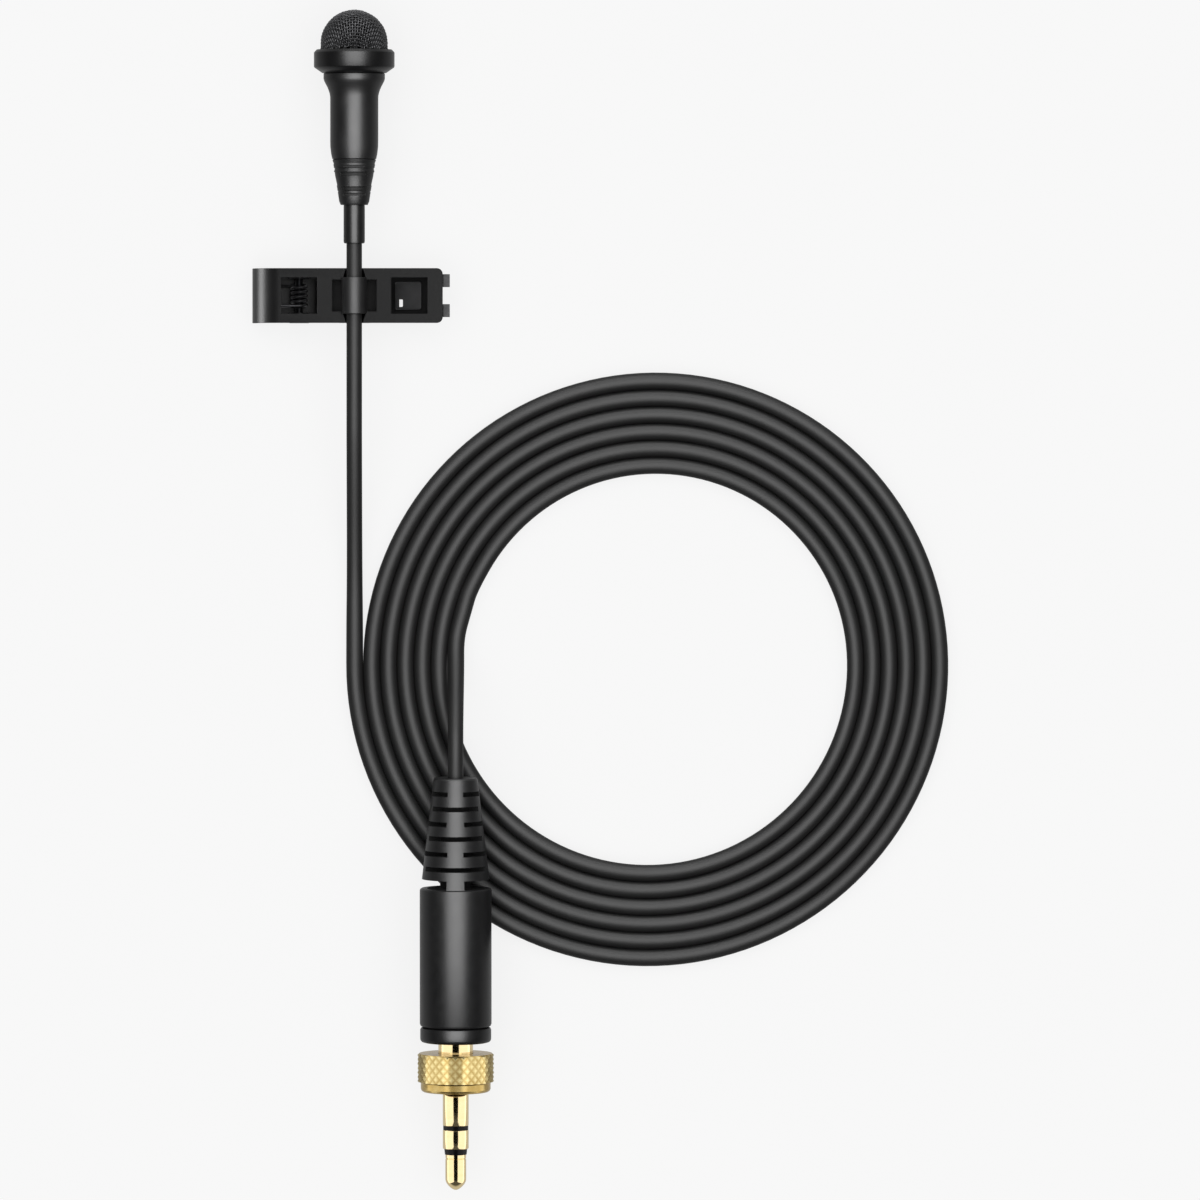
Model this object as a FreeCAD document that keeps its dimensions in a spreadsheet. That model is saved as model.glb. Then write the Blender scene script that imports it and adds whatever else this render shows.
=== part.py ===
"""Clip-on (lavalier) microphone with its cable, cable clip and 3.5 mm locking plug.

Millimetres. The microphone lies on the plane z = 0 with its dome towards +Y. The origin is at the
middle of the base of the box round the microphone and its clip. Turned pieces are drawn as half
outlines (radius, station) where the station runs along the cable: from the tip of the dome on the
microphone, from the cable entry on the plug.
"""
import FreeCAD, Part
import math
import os
import re
import types

import Sketcher
from FreeCAD import Placement, Rotation, Vector

SIZES = {
    # fits
    "touch_gap": 0.01,          # pieces pressed or glued together
    "slide_gap": 0.05,          # pieces that turn or slide
    "rest_gap": 0.02,           # under the plug, where it lies on the floor and on the coil
    # cable
    "cord_radius": 1.05,
    "wire_radius": 0.25,
    "wire_offset": 0.45,
    "turn_gap": 0.185,          # between neighbouring turns of the coil
    "coil_radius": 39.6,
    "coil_turns": 6,
    "coil_release_angle": 16,
    "coil_station": 88.6,       # where the cable enters the coil, from the tip of the dome
    "lead_drop_station": 58.6,  # where the lead starts down to the floor
    "lead_floor_station": 76.0,
    "tail_lift_run": 4.2,       # past the coil's middle, where the tail rises over the turns
    "tail_lift": 1.25,
    "tail_entry_run": 7.9,      # before the plug, where the tail comes into line with it
    "tail_entry_drop": 0.85,
    "tail_entry_length": 4.0,
    # windshield
    "dome_radius": 4.55,
    "dome_height": 5.4,
    "mesh_thickness": 0.4,
    "mesh_skirt": 1.0,
    "foam_gap": 0.1,
    "foam_end": 5.2,
    "collar_radius": 5.45,
    "collar_length": 2.43,
    "collar_taper_length": 0.75,
    "collar_back_radius": 4.33,
    # microphone housing
    "spigot_radius": 3.6,
    "spigot_start": 5.6,
    "neck_radius": 4.15,
    "neck_length": 1.4,
    "neck_end_radius": 3.95,
    "neck_taper_length": 1.7,
    "body_radius": 3.25,
    "body_taper_start": 18.7,
    "body_end": 20.2,
    "body_end_radius": 2.97,
    "housing_bore": 1.55,
    "relief_radius": 2.94,
    "relief_end_radius": 1.95,
    "relief_length": 6.2,
    "relief_spigot_radius": 1.9,
    "relief_spigot_length": 2.5,
    "relief_slot": 0.5,
    "relief_slot_pitch": 2.0,
    "relief_slot_start": 1.8,
    "relief_slot_width": 2.6,
    "relief_slot_depth": 0.5,
    "sleeve_radius": 1.44,
    "sleeve_length": 5.2,
    # electret capsule
    "capsule_radius": 2.4,
    "capsule_start": 5.9,
    "capsule_length": 4.0,
    "capsule_wall": 0.2,
    "sound_hole_radius": 0.6,
    "ring_thickness": 0.25,
    "ring_bore": 1.7,
    "diaphragm_thickness": 0.1,
    "backplate_gap": 0.15,
    "backplate_radius": 1.75,
    "backplate_thickness": 0.6,
    "board_thickness": 0.4,
    "seal_thickness": 0.5,
    "seal_bore": 1.5,
    # clip, measured from the cable's axis and the middle of the clip
    "clip_station": 38.63,
    "clip_width": 7.4,
    "clip_left": 13.84,
    "clip_right": 11.95,
    "clip_corner": 0.8,
    "sheet_thickness": 0.6,
    "plate_drop": 0.55,         # top of the front plate below the cable's axis
    "roll_radius": 3.6,
    "roll_angle": 90,
    "window_size": 4.9,
    "window_place": 7.45,
    "bridge_window_length": 6.0,
    "bridge_window_width": 4.3,
    "saddle_half_length": 2.1,
    "saddle_depth": 1.0,
    "funnel_gap_wide": 0.65,    # round the cable, at the edge of the clip
    "funnel_gap_narrow": 0.2,   # and at the middle window
    "ear_width": 2.6,
    "hinge_place": 7.5,
    "hinge_drop": 2.85,
    "hinge_radius": 0.5,
    "jaw_side_gap": 0.8,        # the jaw is narrower than the front plate by this much a side
    "jaw_left": 12.0,
    "jaw_bend": 2.0,
    "jaw_tip_start": 11.5,
    "jaw_right": 12.9,
    "mouth_gap": 0.1,
    "tooth_gap": 2.3,
    "tooth_depth": 2.2,
    "peep_place": 6.4,
    "peep_side": 1.0,
    "peep_length": 0.7,
    "peep_width": 1.1,
    "spring_radius": 0.95,
    "spring_wire": 0.25,
    "spring_pitch": 0.62,
    "spring_turns": 4.5,
    "leg_length": 3.0,
    "bridge_radius": 1.7,
    "bridge_length": 4.9,
    "holder_length": 6.6,
    "holder_drop": 0.9,         # top of the holder's base below the front plate
    # plug, stations from the cable entry
    "plug_place": 15.2,         # the entry, past the middle of the coil
    "boot_top_radius": 2.95,
    "boot_base_radius": 4.7,
    "boot_length": 14.9,
    "boot_core_radius": 2.1,
    "boot_slot": 0.65,
    "boot_slot_pitch": 4.03,
    "boot_side_slot_start": 2.05,
    "boot_face_slot_start": 4.04,
    "boot_last_slot": 1.25,
    "boot_bar": 2.2,
    "slot_reach": 1.0,          # the cutting discs stand proud of the boot
    "barrel_radius": 4.85,
    "barrel_length": 18.8,
    "barrel_wall": 0.95,
    "barrel_lip": 1.0,
    "barrel_hole": 3.0,
    "boot_flange_length": 1.6,
    "end_ring_radius": 4.8,
    "end_ring_length": 2.1,
    "end_ring_round": 0.5,
    "neck_shaft_radius": 2.35,
    "neck_shaft_show": 1.5,
    "flange_length": 2.6,
    "nut_radius": 5.175,
    "nut_length": 3.9,
    "nut_chamfer": 0.25,
    "nut_step_length": 1.3,
    "nut_step_radius": 4.72,
    "nut_step_chamfer": 0.32,
    "nut_bore": 3.9,
    "nut_wall": 1.6,
    "nut_play": 0.5,
    "snap_ring_radius": 2.85,
    "snap_ring_bore": 2.05,
    "snap_ring_thickness": 0.4,
    "jack_radius": 1.75,
    "jack_sleeve_length": 4.6,
    "jack_gap_rear": 0.6,
    "jack_ring_length": 2.54,
    "jack_gap_front": 0.8,
    "jack_tip_length": 4.84,
    "front_gap_radius": 1.5,
    "tip_radius": 1.41,
    "tip_groove_radius": 1.28,
    "tip_groove_start": 0.45,
    "tip_groove_width": 0.3,
    "tip_groove_flank": 0.12,
    "tip_straight": 3.3,
    "tip_shoulder": 4.4,
    "tip_shoulder_radius": 0.98,
    "tip_end_radius": 0.35,
    "sleeve_bore": 1.3,
    "ring_bore_radius": 0.7,
    "ring_tube_radius": 1.0,
    "rod_radius": 0.4,
    "contact_step": 1.0,        # each contact reaches this much further back than the one round it
    "cable_end_length": 21.0,
    "clamp_radius": 1.5,
    "clamp_length": 3.0,
    "clamp_start": 17.8,
    "strap_thickness": 0.4,
    "strap_overlap": 0.1,
    "strap_width": 1.6,
    "liner_thickness": 0.35,
    "lug_thickness": 0.3,
    "lug_width": 1.4,
    "lug_length": 2.6,
}

doc = FreeCAD.newDocument("Lavalier")
sheet = doc.addObject("Spreadsheet::Sheet", "dims")
for row, (alias, number) in enumerate(SIZES.items(), 1):
    sheet.set(f"A{row}", alias)
    sheet.set(f"B{row}", str(number))
    sheet.setAlias(f"B{row}", alias)
doc.recompute()
d = types.SimpleNamespace(**{alias: sheet.get(alias) for alias in SIZES})

HALF_TURN = 180
FULL_TURN = 360
CUT_DEPTH = 40      # deeper than any piece that a sketch cuts through


# ---- places ------------------------------------------------------------------------------------

axis_height = d.collar_radius + d.touch_gap
mic_x = (d.clip_left - d.jaw_right) / 2
tip_y = (d.clip_station + d.clip_width / 2) / 2
mic_frame = Placement(Vector(mic_x, tip_y, axis_height), Rotation(Vector(1, 0, 0), 90))
clip_frame = Placement(Vector(mic_x, tip_y - d.clip_station, axis_height), Rotation())

coil_y = tip_y - d.coil_station
coil_pitch = d.cord_radius * 2 + d.turn_gap
plug_x = mic_x + d.coil_turns * coil_pitch
plug_top_y = coil_y - d.plug_place
nut_front = d.boot_length + d.barrel_length + d.end_ring_length + d.neck_shaft_show + d.nut_length
# the barrel rests on the rim of the coil and the nut on the floor
coil_reach = math.sqrt((d.coil_radius + d.cord_radius) ** 2 - (d.coil_radius + mic_x - plug_x) ** 2)
rest_station = plug_top_y - (coil_y - coil_reach)
plug_slope = 0.0
for _ in range(6):
    drop = 2 * d.cord_radius + d.barrel_radius / math.cos(plug_slope) - d.nut_radius * math.cos(plug_slope)
    plug_slope = math.asin(drop / (nut_front - rest_station / math.cos(plug_slope)))
plug_top_z = d.nut_radius * math.cos(plug_slope) + nut_front * math.sin(plug_slope) + d.rest_gap
plug_frame = Placement(
    Vector(plug_x, plug_top_y, plug_top_z), Rotation(Vector(1, 0, 0), 90 + math.degrees(plug_slope)))


# ---- drawing helpers ---------------------------------------------------------------------------

def bound(text):
    """The expression text with every size name taken from the sheet."""
    return re.sub(r"[a-z_]\w*", lambda found: f"dims.{found.group(0)}", str(text))


def new_body(label, frame):
    body = doc.addObject("PartDesign::Body", label)
    body.Label = label
    body.Placement = frame
    return body


def plane(body, role):
    return next(item for item in body.Origin.OriginFeatures if item.Role == role)


def new_sketch(body, role, offset=None):
    """A sketch on one of the body's own planes, moved along the plane's normal by an expression."""
    sketch = body.newObject("Sketcher::SketchObject", body.Name + "_sketch")
    sketch.AttachmentSupport = [(plane(body, role), "")]
    sketch.MapMode = "FlatFace"
    if offset is not None:
        sketch.setExpression("AttachmentOffset.Base.z", bound(offset))
    return sketch


def place_point(sketch, line, end, name, corner):
    """Ties one end of a line to a pair of expressions."""
    for kind, text in zip(("DistanceX", "DistanceY"), corner):
        number = sketch.addConstraint(Sketcher.Constraint(kind, line, end, 1.0))
        label = f"{name}_{kind[-1]}"
        sketch.renameConstraint(number, label)
        sketch.setExpression(f"Constraints.{label}", bound(text))


def polygon(sketch, corners):
    """A closed outline whose corners are pairs of expressions."""
    first = sketch.GeometryCount
    count = len(corners)
    turn = 2 * math.pi / count
    start = [Vector(math.cos(turn * place), math.sin(turn * place), 0) for place in range(count)]
    for place in range(count):
        sketch.addGeometry(Part.LineSegment(start[place], start[(place + 1) % count]), False)
    for place, corner in enumerate(corners):
        following = first + (place + 1) % count
        sketch.addConstraint(Sketcher.Constraint("Coincident", first + place, 2, following, 1))
        place_point(sketch, first + place, 1, f"p{first + place}", corner)


def rectangle(sketch, left, bottom, right, top):
    polygon(sketch, [(left, bottom), (right, bottom), (right, top), (left, top)])


def turned(label, frame, corners):
    """A piece turned about its own Z axis from a half outline of (radius, station) corners."""
    body = new_body(label, frame)
    sketch = new_sketch(body, "XZ_Plane")
    polygon(sketch, corners)
    revolution = body.newObject("PartDesign::Revolution", label + "_turn")
    revolution.Profile = sketch
    revolution.ReferenceAxis = (sketch, ["V_Axis"])
    revolution.Angle = FULL_TURN
    return body


def tube(label, frame, inner, outer, start, end):
    return turned(label, frame, [(inner, start), (outer, start), (outer, end), (inner, end)])


def pad(body, sketch, length, symmetric=False):
    feature = body.newObject("PartDesign::Pad", body.Name + "_pad")
    feature.Profile = sketch
    feature.SideType = "Symmetric" if symmetric else "One side"
    feature.setExpression("Length", bound(length))
    return feature


def cut_through(body, sketch):
    feature = body.newObject("PartDesign::Pocket", body.Name + "_cut")
    feature.Profile = sketch
    feature.SideType = "Symmetric"
    feature.Type = "Length"
    feature.Length = CUT_DEPTH
    return feature


def solid(body, kind, sizes, base, rotation=None):
    """A PartDesign primitive (box, cylinder, cone or sphere), its sizes and place as expressions."""
    feature = body.newObject("PartDesign::" + kind, body.Name + "_" + kind)
    if rotation is not None:
        feature.Placement = Placement(Vector(), rotation)
    for name, text in sizes.items():
        feature.setExpression(name, bound(text))
    for name, text in zip("xyz", base):
        feature.setExpression(f"Placement.Base.{name}", bound(text))
    return feature


def box(body, kind, low, size):
    return solid(body, kind + "Box", dict(zip(("Length", "Width", "Height"), size)), low)


ALONG_Y = Rotation(Vector(1, 0, 0), -90)
AGAINST_Y = Rotation(Vector(1, 0, 0), 90)


# ---- windshield --------------------------------------------------------------------------------

def windshield_mesh():
    body = new_body("windshield_mesh", mic_frame)
    skirt = "dome_height + mesh_skirt - dome_radius"
    solid(body, "AdditiveSphere", {"Radius": "dome_radius"}, ("0", "0", "dome_radius")).Angle2 = 0
    solid(body, "AdditiveCylinder", {"Radius": "dome_radius", "Height": skirt}, ("0", "0", "dome_radius"))
    inner = "dome_radius - mesh_thickness"
    solid(body, "SubtractiveSphere", {"Radius": inner}, ("0", "0", "dome_radius"))
    solid(body, "SubtractiveCylinder", {"Radius": inner, "Height": skirt}, ("0", "0", "dome_radius"))


def windshield_foam():
    body = new_body("windshield_foam", mic_frame)
    radius = "dome_radius - mesh_thickness - foam_gap"
    solid(body, "AdditiveSphere", {"Radius": radius}, ("0", "0", "dome_radius")).Angle2 = 0
    solid(body, "AdditiveCylinder", {"Radius": radius, "Height": "foam_end - dome_radius"},
          ("0", "0", "dome_radius"))


def windshield_collar():
    seat = "dome_height + mesh_skirt"
    taper = "dome_height + collar_length"
    end = "dome_height + collar_length + collar_taper_length"
    bore = "spigot_radius + slide_gap"
    mouth = "dome_radius + touch_gap"
    turned("windshield_collar", mic_frame, [
        (mouth, "dome_height"), ("collar_radius", "dome_height"), ("collar_radius", taper),
        ("collar_back_radius", end), (bore, end), (bore, seat), (mouth, seat)])


# ---- microphone head ---------------------------------------------------------------------------

NECK_START = "dome_height + collar_length + collar_taper_length + slide_gap"
CAPSULE_END = "capsule_start + capsule_length"
RELIEF_START = "body_end - relief_spigot_length"
RELIEF_END = "body_end + relief_length"


def mic_housing():
    pocket = "capsule_radius + touch_gap"
    pocket_end = CAPSULE_END + " + seal_thickness + touch_gap"
    socket = "relief_spigot_radius + touch_gap"
    neck_end = NECK_START + " + neck_length"
    taper_end = neck_end + " + neck_taper_length"
    turned("mic_housing", mic_frame, [
        (pocket, "spigot_start"), ("spigot_radius", "spigot_start"), ("spigot_radius", NECK_START),
        ("neck_radius", NECK_START), ("neck_end_radius", neck_end), ("body_radius", taper_end),
        ("body_radius", "body_taper_start"), ("body_end_radius", "body_end"), (socket, "body_end"),
        (socket, RELIEF_START + " - touch_gap"), ("housing_bore", RELIEF_START + " - touch_gap"),
        ("housing_bore", pocket_end), (pocket, pocket_end)])


def mic_strain_relief():
    body = turned("mic_strain_relief", mic_frame, [
        ("cord_radius", RELIEF_START), ("relief_spigot_radius", RELIEF_START),
        ("relief_spigot_radius", "body_end + touch_gap"), ("relief_radius", "body_end + touch_gap"),
        ("relief_end_radius", RELIEF_END), ("cord_radius", RELIEF_END)])
    for place in range(2):
        start = f"body_end + relief_slot_start + relief_slot_pitch * {place}"
        surface = f"relief_radius - (relief_slot_start + relief_slot_pitch * {place}) * " \
            "(relief_radius - relief_end_radius) / relief_length - relief_slot_depth"
        size = ("relief_slot_width", "relief_radius", "relief_slot")
        box(body, "Subtractive", ("-relief_slot_width / 2", surface, start), size)
        box(body, "Subtractive", ("-relief_slot_width / 2", f"-({surface}) - relief_radius", start), size)


def cable_sleeve():
    tube("cable_sleeve", mic_frame, "cord_radius", "sleeve_radius",
         RELIEF_END + " + touch_gap", RELIEF_END + " + sleeve_length")


def capsule():
    case_bore = "capsule_radius - capsule_wall"
    front = "capsule_start + capsule_wall"
    turned("capsule_case", mic_frame, [
        ("sound_hole_radius", "capsule_start"), ("capsule_radius", "capsule_start"),
        ("capsule_radius", CAPSULE_END), (case_bore, CAPSULE_END), (case_bore, front),
        ("sound_hole_radius", front)])
    inside = case_bore + " - touch_gap"
    ring_end = front + " + ring_thickness"
    film_end = ring_end + " + diaphragm_thickness"
    plate_start = film_end + " + backplate_gap"
    plate_end = plate_start + " + backplate_thickness"
    board_start = CAPSULE_END + " - board_thickness"
    tube("diaphragm_ring", mic_frame, "ring_bore", inside, front, ring_end)
    turned("diaphragm", mic_frame, [("0", ring_end), (inside, ring_end), (inside, film_end), ("0", film_end)])
    turned("backplate", mic_frame, [
        ("0", plate_start), ("backplate_radius", plate_start), ("backplate_radius", plate_end),
        ("0", plate_end)])
    turned("backplate_holder", mic_frame, [
        ("backplate_radius + touch_gap", film_end), (inside, film_end), (inside, board_start),
        ("ring_bore - ring_thickness", board_start), ("ring_bore - ring_thickness", plate_end),
        ("backplate_radius + touch_gap", plate_end)])
    turned("capsule_board", mic_frame, [
        ("0", board_start), (inside, board_start), (inside, CAPSULE_END), ("0", CAPSULE_END)])
    tube("capsule_seal", mic_frame, "seal_bore", "capsule_radius",
         CAPSULE_END, CAPSULE_END + " + seal_thickness")


def wire_pair(label, frame, start, end):
    """Two straight conductors side by side, as one node."""
    wires = []
    for side in (-1, 1):
        wire = doc.addObject("Part::Cylinder", label + "_wire")
        wire.setExpression("Radius", bound("wire_radius"))
        wire.setExpression("Height", bound(f"{end} - ({start})"))
        wire.setExpression("Placement.Base.x", bound(f"wire_offset * {side}"))
        wire.setExpression("Placement.Base.z", bound(start))
        wires.append(wire)
    pair = doc.addObject("Part::Compound", label)
    pair.Label = label
    pair.Links = wires
    pair.Placement = frame


# ---- clip --------------------------------------------------------------------------------------

PLATE_UNDER = "-plate_drop - sheet_thickness"
HINGE_Z = "-hinge_drop"
FLOOR_Z = "-collar_radius - touch_gap"


def clip_front_plate():
    body = new_body("clip_front_plate", clip_frame)
    sketch = new_sketch(body, "XY_Plane", PLATE_UNDER)
    rectangle(sketch, "roll_radius - clip_left", "-clip_width / 2", "clip_right", "clip_width / 2")
    plate = pad(body, sketch, "sheet_thickness")
    doc.recompute()
    upright = [f"Edge{number}" for number, edge in enumerate(plate.Shape.Edges, 1)
               if edge.BoundBox.XMin > d.clip_right - d.touch_gap and edge.BoundBox.YLength < d.touch_gap]
    corners = body.newObject("PartDesign::Fillet", "clip_corners")
    corners.Base = (plate, upright)
    corners.setExpression("Radius", bound("clip_corner"))
    doc.recompute()
    # the rolled lever end
    section = new_sketch(body, "YZ_Plane", "roll_radius - clip_left")
    rectangle(section, "-clip_width / 2", PLATE_UNDER, "clip_width / 2", "-plate_drop")
    roll_axis = section.addGeometry(Part.LineSegment(Vector(-1, -4, 0), Vector(1, -4, 0)), True)
    place_point(section, roll_axis, 1, "axis_start", ("-clip_width / 2", "-plate_drop - roll_radius"))
    place_point(section, roll_axis, 2, "axis_end", ("clip_width / 2", "-plate_drop - roll_radius"))
    roll = body.newObject("PartDesign::Revolution", "clip_roll")
    roll.Profile = section
    roll.ReferenceAxis = (section, ["Axis0"])
    roll.Reversed = True
    roll.setExpression("Angle", bound("roll_angle"))
    # saddles under the cable, and the hinge ears
    inner = "bridge_window_width / 2"
    depth = "clip_width / 2 - bridge_window_width / 2"
    size = ("saddle_half_length * 2", depth, "saddle_depth")
    low = PLATE_UNDER + " - saddle_depth"
    box(body, "Additive", ("-saddle_half_length", inner, low), size)
    box(body, "Additive", ("-saddle_half_length", "-clip_width / 2", low), size)
    ear = ("ear_width", "sheet_thickness", "hinge_drop + ear_width / 2 - plate_drop - sheet_thickness / 2")
    ear_low = "-hinge_drop - ear_width / 2"
    for side in ("clip_width / 2 - sheet_thickness", "-clip_width / 2"):
        box(body, "Additive", ("-hinge_place - ear_width / 2", side, ear_low), ear)
    # the two square windows and the middle one
    windows = new_sketch(body, "XY_Plane")
    for middle in ("window_place", "-window_place"):
        rectangle(windows, f"{middle} - window_size / 2", "-window_size / 2",
                  f"{middle} + window_size / 2", "window_size / 2")
    rectangle(windows, "-bridge_window_length / 2", "-bridge_window_width / 2",
              "bridge_window_length / 2", "bridge_window_width / 2")
    cut_through(body, windows)
    # funnels that the cable lies in
    funnel = "clip_width / 2 - bridge_window_width / 2"
    wide = "cord_radius + funnel_gap_wide"
    narrow = "cord_radius + funnel_gap_narrow"
    sides = ((wide, narrow, "bridge_window_width / 2"), (narrow, wide, "-clip_width / 2"))
    for first, second, start in sides:
        solid(body, "SubtractiveCone", {"Radius1": first, "Radius2": second, "Height": funnel},
              ("0", start, "0"), ALONG_Y)
    solid(body, "SubtractiveCylinder", {"Radius": "hinge_radius", "Height": "clip_width"},
          ("-hinge_place", "-clip_width / 2", HINGE_Z), ALONG_Y)


JAW_WIDTH = "(clip_width - jaw_side_gap * 2)"


def clip_rear_jaw():
    body = new_body("clip_rear_jaw", clip_frame)
    side = new_sketch(body, "XZ_Plane")
    tip_top = PLATE_UNDER + " - mouth_gap"
    tip_low = tip_top + " - sheet_thickness"
    top = FLOOR_Z + " + sheet_thickness"
    polygon(side, [
        ("-jaw_left", FLOOR_Z), ("jaw_bend", FLOOR_Z), ("jaw_tip_start", tip_low), ("jaw_right", tip_low),
        ("jaw_right", tip_top), ("jaw_tip_start - sheet_thickness / 4", tip_top),
        ("jaw_bend - sheet_thickness / 4", top), ("-jaw_left", top)])
    pad(body, side, JAW_WIDTH, True)
    # hinge ears with round tops
    low = FLOOR_Z + " + sheet_thickness / 2"
    for edge in (f"{JAW_WIDTH} / 2 - sheet_thickness", f"-{JAW_WIDTH} / 2"):
        box(body, "Additive", ("-hinge_place - ear_width / 2", edge, low),
            ("ear_width", "sheet_thickness", f"-hinge_drop - ({low})"))
        solid(body, "AdditiveCylinder", {"Radius": "ear_width / 2", "Height": "sheet_thickness"},
              ("-hinge_place", edge, HINGE_Z), ALONG_Y)
    solid(body, "SubtractiveCylinder", {"Radius": "hinge_radius + slide_gap", "Height": "clip_width"},
          ("-hinge_place", "-clip_width / 2", HINGE_Z), ALONG_Y)
    # the gap between the teeth, and the peep hole
    cuts = new_sketch(body, "XY_Plane")
    rectangle(cuts, "jaw_right - tooth_depth", "-tooth_gap / 2", "jaw_right + tooth_depth", "tooth_gap / 2")
    rectangle(cuts, "peep_place - peep_length / 2", "-peep_side - peep_width / 2",
              "peep_place + peep_length / 2", "-peep_side + peep_width / 2")
    cut_through(body, cuts)


def clip_hinge_pin():
    body = new_body("clip_hinge_pin", clip_frame)
    solid(body, "AdditiveCylinder", {"Radius": "hinge_radius", "Height": "clip_width"},
          ("-hinge_place", "-clip_width / 2", HINGE_Z), ALONG_Y)


def spring_leg(label, side, height, tilt, gap):
    """A straight leg from the coil's end towards the lever end, tilted up or down onto its plate."""
    leg = doc.addObject("Part::Cylinder", label)
    leg.Label = label
    leg.setExpression("Radius", bound("spring_wire"))
    leg.setExpression("Height", bound("leg_length"))
    direction = Vector(-math.cos(tilt), 0, math.sin(tilt))
    start = Vector(-d.hinge_place, side, height - d.hinge_drop) + direction * gap
    leg.Placement = clip_frame.multiply(Placement(start, Rotation(Vector(0, 0, 1), direction)))
    return leg


def clip_spring():
    """The torsion spring: its coil with the leg on the front plate, and the leg that presses on the jaw."""
    helix = doc.addObject("Part::Helix", "spring_helix")
    helix.setExpression("Radius", bound("spring_radius"))
    helix.setExpression("Pitch", bound("spring_pitch"))
    helix.setExpression("Height", bound("spring_pitch * spring_turns"))
    section = doc.addObject("Part::Circle", "spring_section")
    section.setExpression("Radius", bound("spring_wire"))
    section.setExpression("Placement.Base.x", bound("spring_radius"))
    section.Placement.Rotation = Rotation(Vector(1, 0, 0), 90)
    sweep = doc.addObject("Part::Sweep", "spring_sweep")
    sweep.Sections = [section]
    sweep.Spine = (helix, ["Edge1"])
    sweep.Solid = True
    sweep.Frenet = True
    half_height = d.spring_pitch * d.spring_turns / 2
    on_pin = Placement(Vector(-d.hinge_place, -half_height, -d.hinge_drop), ALONG_Y)
    to_plate = Placement(Vector(), Rotation(Vector(0, 0, 1), -90))
    sweep.Placement = clip_frame.multiply(on_pin).multiply(to_plate)
    rise = d.hinge_drop - d.plate_drop - d.sheet_thickness - d.spring_radius - d.spring_wire - d.slide_gap
    fall = d.collar_radius - d.hinge_drop - d.sheet_thickness - d.spring_radius - d.spring_wire - d.slide_gap
    joined = doc.addObject("Part::Fuse", "clip_spring_coil")
    joined.Label = "clip_spring_coil"
    joined.Base = sweep
    rise_angle = math.asin(rise / d.leg_length)
    fall_angle = math.asin(fall / d.leg_length)
    joined.Tool = spring_leg("spring_front_leg", -half_height, d.spring_radius, rise_angle, -d.spring_wire)
    spring_leg("clip_spring_leg", half_height, -d.spring_radius, -fall_angle, d.slide_gap)


def cable_holder():
    body = new_body("cable_holder", clip_frame)
    base_low = PLATE_UNDER + " - holder_drop - saddle_depth"
    fit = "bridge_window_width - touch_gap * 2"
    box(body, "Additive", ("-holder_length / 2", f"-({fit}) / 2", base_low),
        ("holder_length", fit, "saddle_depth"))
    box(body, "Additive", ("-bridge_radius", f"-({fit}) / 2", base_low),
        ("bridge_radius * 2", fit, f"-({base_low})"))
    box(body, "Additive", ("-bridge_radius", "-bridge_length / 2", "touch_gap - plate_drop"),
        ("bridge_radius * 2", "bridge_length", "plate_drop - touch_gap"))
    solid(body, "AdditiveCylinder", {"Radius": "bridge_radius", "Height": "bridge_length"},
          ("0", "bridge_length / 2", "0"), AGAINST_Y).Angle = HALF_TURN
    solid(body, "SubtractiveCylinder", {"Radius": "cord_radius + slide_gap", "Height": "clip_width"},
          ("0", "-clip_width / 2", "0"), ALONG_Y)


# ---- plug --------------------------------------------------------------------------------------

BARREL_END = "boot_length + barrel_length"
RING_END = BARREL_END + " + end_ring_length"
NUT_START = RING_END + " + neck_shaft_show"
STEP_START = NUT_START + " + nut_length"
NUT_END = STEP_START + " + nut_step_length"
SLEEVE_END = NUT_END + " + jack_sleeve_length"
GAP_END = SLEEVE_END + " + jack_gap_rear"
JACK_RING_END = GAP_END + " + jack_ring_length"
TIP_START = JACK_RING_END + " + jack_gap_front"
FLANGE_START = BARREL_END + " - flange_length"


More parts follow.
